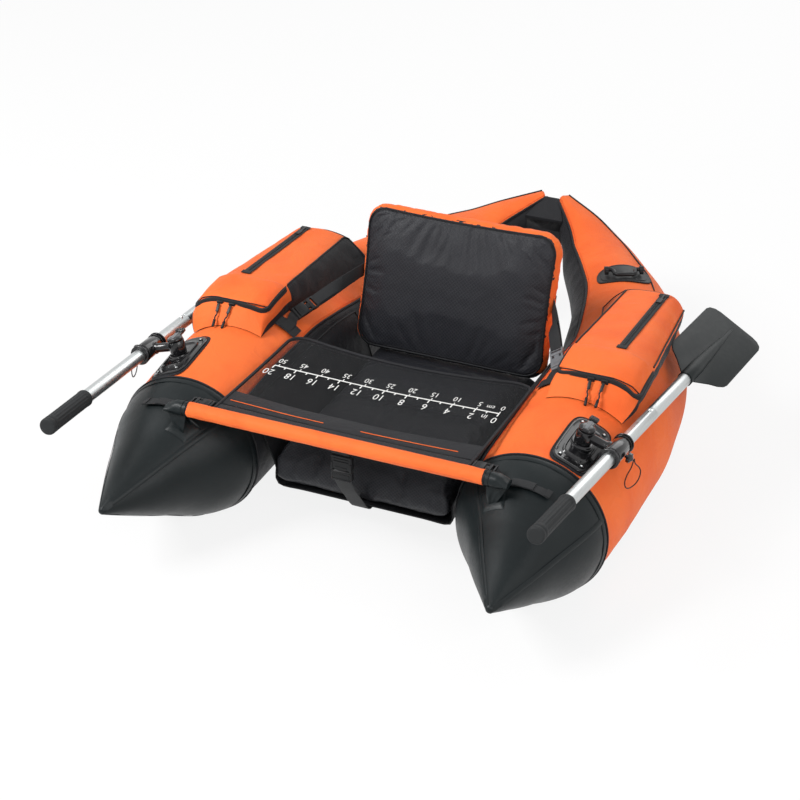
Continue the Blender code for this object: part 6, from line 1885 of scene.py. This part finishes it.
def handle_patch(name, side):
    """A domed oval patch with a beaded rim and the two ears that hold the bail."""
    turn = turns(80)
    a, b = rounded(turn, 2.6)
    shape = Shape()
    profile = (
        (1.0, 0.0003), (0.995, 0.0022), (0.97, 0.0030), (0.92, 0.0030), (0.90, 0.0022),
        (0.84, 0.0022), (0.82, 0.0036), (0.40, 0.0038), (0.0, 0.0038)
    )
    middle, half = at_station(8.0), at_station(8.5) - at_station(8.0)
    rows = [ring_at(middle + half * 0.86 * r * a, 90 + 31 * r * b, lift) for r, lift in profile]
    shape.grid(rows, closed=True)
    pivot = joint_point("carry_handle_lift_left")
    for way in (-1, 1):
        face = pivot + HANDLE_ACROSS * (way * 0.0354)
        shape.lathe(
            face, HANDLE_ACROSS * way,
            ((0, 0.0031), (0, 0.0068), (0.0008, 0.0076), (0.0092, 0.0076), (0.0100, 0.0066)), 28
        )
        under = ring_at(middle, 90 - way * 12.0, 0.0036)
        centre = face + HANDLE_ACROSS * (way * 0.0050)
        fall = (centre - under) * (0, 0, 1)
        shape.block(
            centre - fall / 2, (HANDLE_ACROSS, HANDLE_AHEAD, UP),
            (0.0046, 0.0085, max(0.004, fall[2] / 2)), 0.0016
        )
    shape.make(
        f"handle_oval_{name}", side, PLASTIC, "hull", "grey_pvc", f"handle_patch_{name}", sharp=40
    )


for side_name, side_sign in SIDES:
    oarlock(side_name, side_sign)
    oar_grip(side_name, side_sign)
    handle_patch(side_name, side_sign)

# Floor, light and background


def add_light(name, place, at, size, power):
    data = bpy.data.lights.new(name, "AREA")
    data.size, data.energy = size, power
    obj = bpy.data.objects.new(name, data)
    obj.location = place
    obj.rotation_euler = (Vector(at) - Vector(place)).to_track_quat("-Z", "Y").to_euler()
    bpy.context.scene.collection.objects.link(obj)


def seen_directly(tree):
    """1 where the camera, a reflection or a clear surface looks straight at it."""
    path = tree.nodes.new("ShaderNodeLightPath")
    total = path.outputs["Is Camera Ray"]
    for key in ("Is Glossy Ray", "Is Transmission Ray"):
        add = tree.nodes.new("ShaderNodeMath")
        add.operation = "MAXIMUM"
        tree.links.new(total, add.inputs[0])
        tree.links.new(path.outputs[key], add.inputs[1])
        total = add.outputs[0]
    return total


def add_floor():
    mesh = bpy.data.meshes.new("studio_floor")
    half = 30
    mesh.from_pydata(
        [(-half, -half, 0), (half, -half, 0), (half, half, 0), (-half, half, 0)], [], [(0, 1, 2, 3)]
    )
    obj = bpy.data.objects.new("studio_floor", mesh)
    bpy.context.scene.collection.objects.link(obj)
    made = bpy.data.materials.new("studio_floor_paper")
    made.use_nodes = True
    tree = made.node_tree
    shader = tree.nodes["Principled BSDF"]
    shader.inputs["Base Color"].default_value = (0.90, 0.90, 0.90, 1)
    shader.inputs["Roughness"].default_value = 0.95
    shader.inputs["Specular IOR Level"].default_value = 0.0
    glow = tree.nodes.new("ShaderNodeEmission")
    glow.inputs["Strength"].default_value = 1.0
    blend = tree.nodes.new("ShaderNodeMixShader")
    part = tree.nodes.new("ShaderNodeMath")
    part.operation = "MULTIPLY"
    part.inputs[1].default_value = 0.86
    tree.links.new(seen_directly(tree), part.inputs[0])
    tree.links.new(part.outputs[0], blend.inputs[0])
    tree.links.new(shader.outputs[0], blend.inputs[1])
    tree.links.new(glow.outputs[0], blend.inputs[2])
    tree.links.new(blend.outputs[0], tree.nodes["Material Output"].inputs["Surface"])
    mesh.materials.append(made)
    obj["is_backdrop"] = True


def add_world():
    world = bpy.data.worlds.new("studio_world")
    bpy.context.scene.world = world
    world.use_nodes = True
    tree = world.node_tree
    back = tree.nodes["Background"]
    back.inputs["Color"].default_value = (1, 1, 1, 1)
    level = tree.nodes.new("ShaderNodeMapRange")
    level.inputs["To Min"].default_value = 0.33
    level.inputs["To Max"].default_value = 1.0
    tree.links.new(seen_directly(tree), level.inputs["Value"])
    tree.links.new(level.outputs[0], back.inputs["Strength"])


def finish_nodes():
    """Gives each CAD node that still shows its finish, and smooth shading where it is round."""
    finishes = {
        "stabiliser_bar": ALUMINIUM,
        "air_bladder": VINYL,
        "air_valve": PLASTIC,
        "main_zip_slider": PLASTIC,
        "back_buckle": PLASTIC,
        "crotch_buckle": PLASTIC,
        "carry_handle": PLASTIC,
        "oarlock": GLOSS,
        "oar_collar": GLOSS,
        "clamp_knob": GLOSS,
        "oar_front_tube": ALUMINIUM,
        "oar_rear_tube": ALUMINIUM,
        "snap_button": ALUMINIUM,
        "oar_grip": RUBBER,
        "oar_blade": BLADE,
        "back_strap": WEB,
        "bow_strap": WEB,
        "crotch_strap": WEB,
        "handle_patch": PVC,
        "bar_end_sleeve": PVC,
    }
    for name, obj in frame["nodes"].items():
        if obj.hide_render:
            continue
        finish = next(f for key, f in finishes.items() if name.startswith(key))
        obj.data.materials.clear()
        obj.data.materials.append(finish)
        obj.data.shade_smooth()
        weld = obj.modifiers.new("weld", "WELD")
        weld.merge_threshold = 0.00002
        edges = obj.modifiers.new("soft_edges", "BEVEL")
        edges.width, edges.segments = 0.0006, 2
        edges.limit_method, edges.angle_limit = "ANGLE", math.radians(35)
        edges.harden_normals = True


finish_nodes()
add_light("key_light", (-3.0, -2.8, 3.9), (0, 0, 0.2), 2.0, 285)
add_light("fill_light", (3.6, -2.6, 2.6), (0, 0, 0.2), 3.0, 95)
add_light("rim_light", (0.5, 3.8, 3.4), (0, 0, 0.2), 3.0, 60)
add_floor()
add_world()
bpy.context.scene.view_settings.view_transform = "Standard"

[[list(corner) for corner in found] for found in (cad_box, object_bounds())]
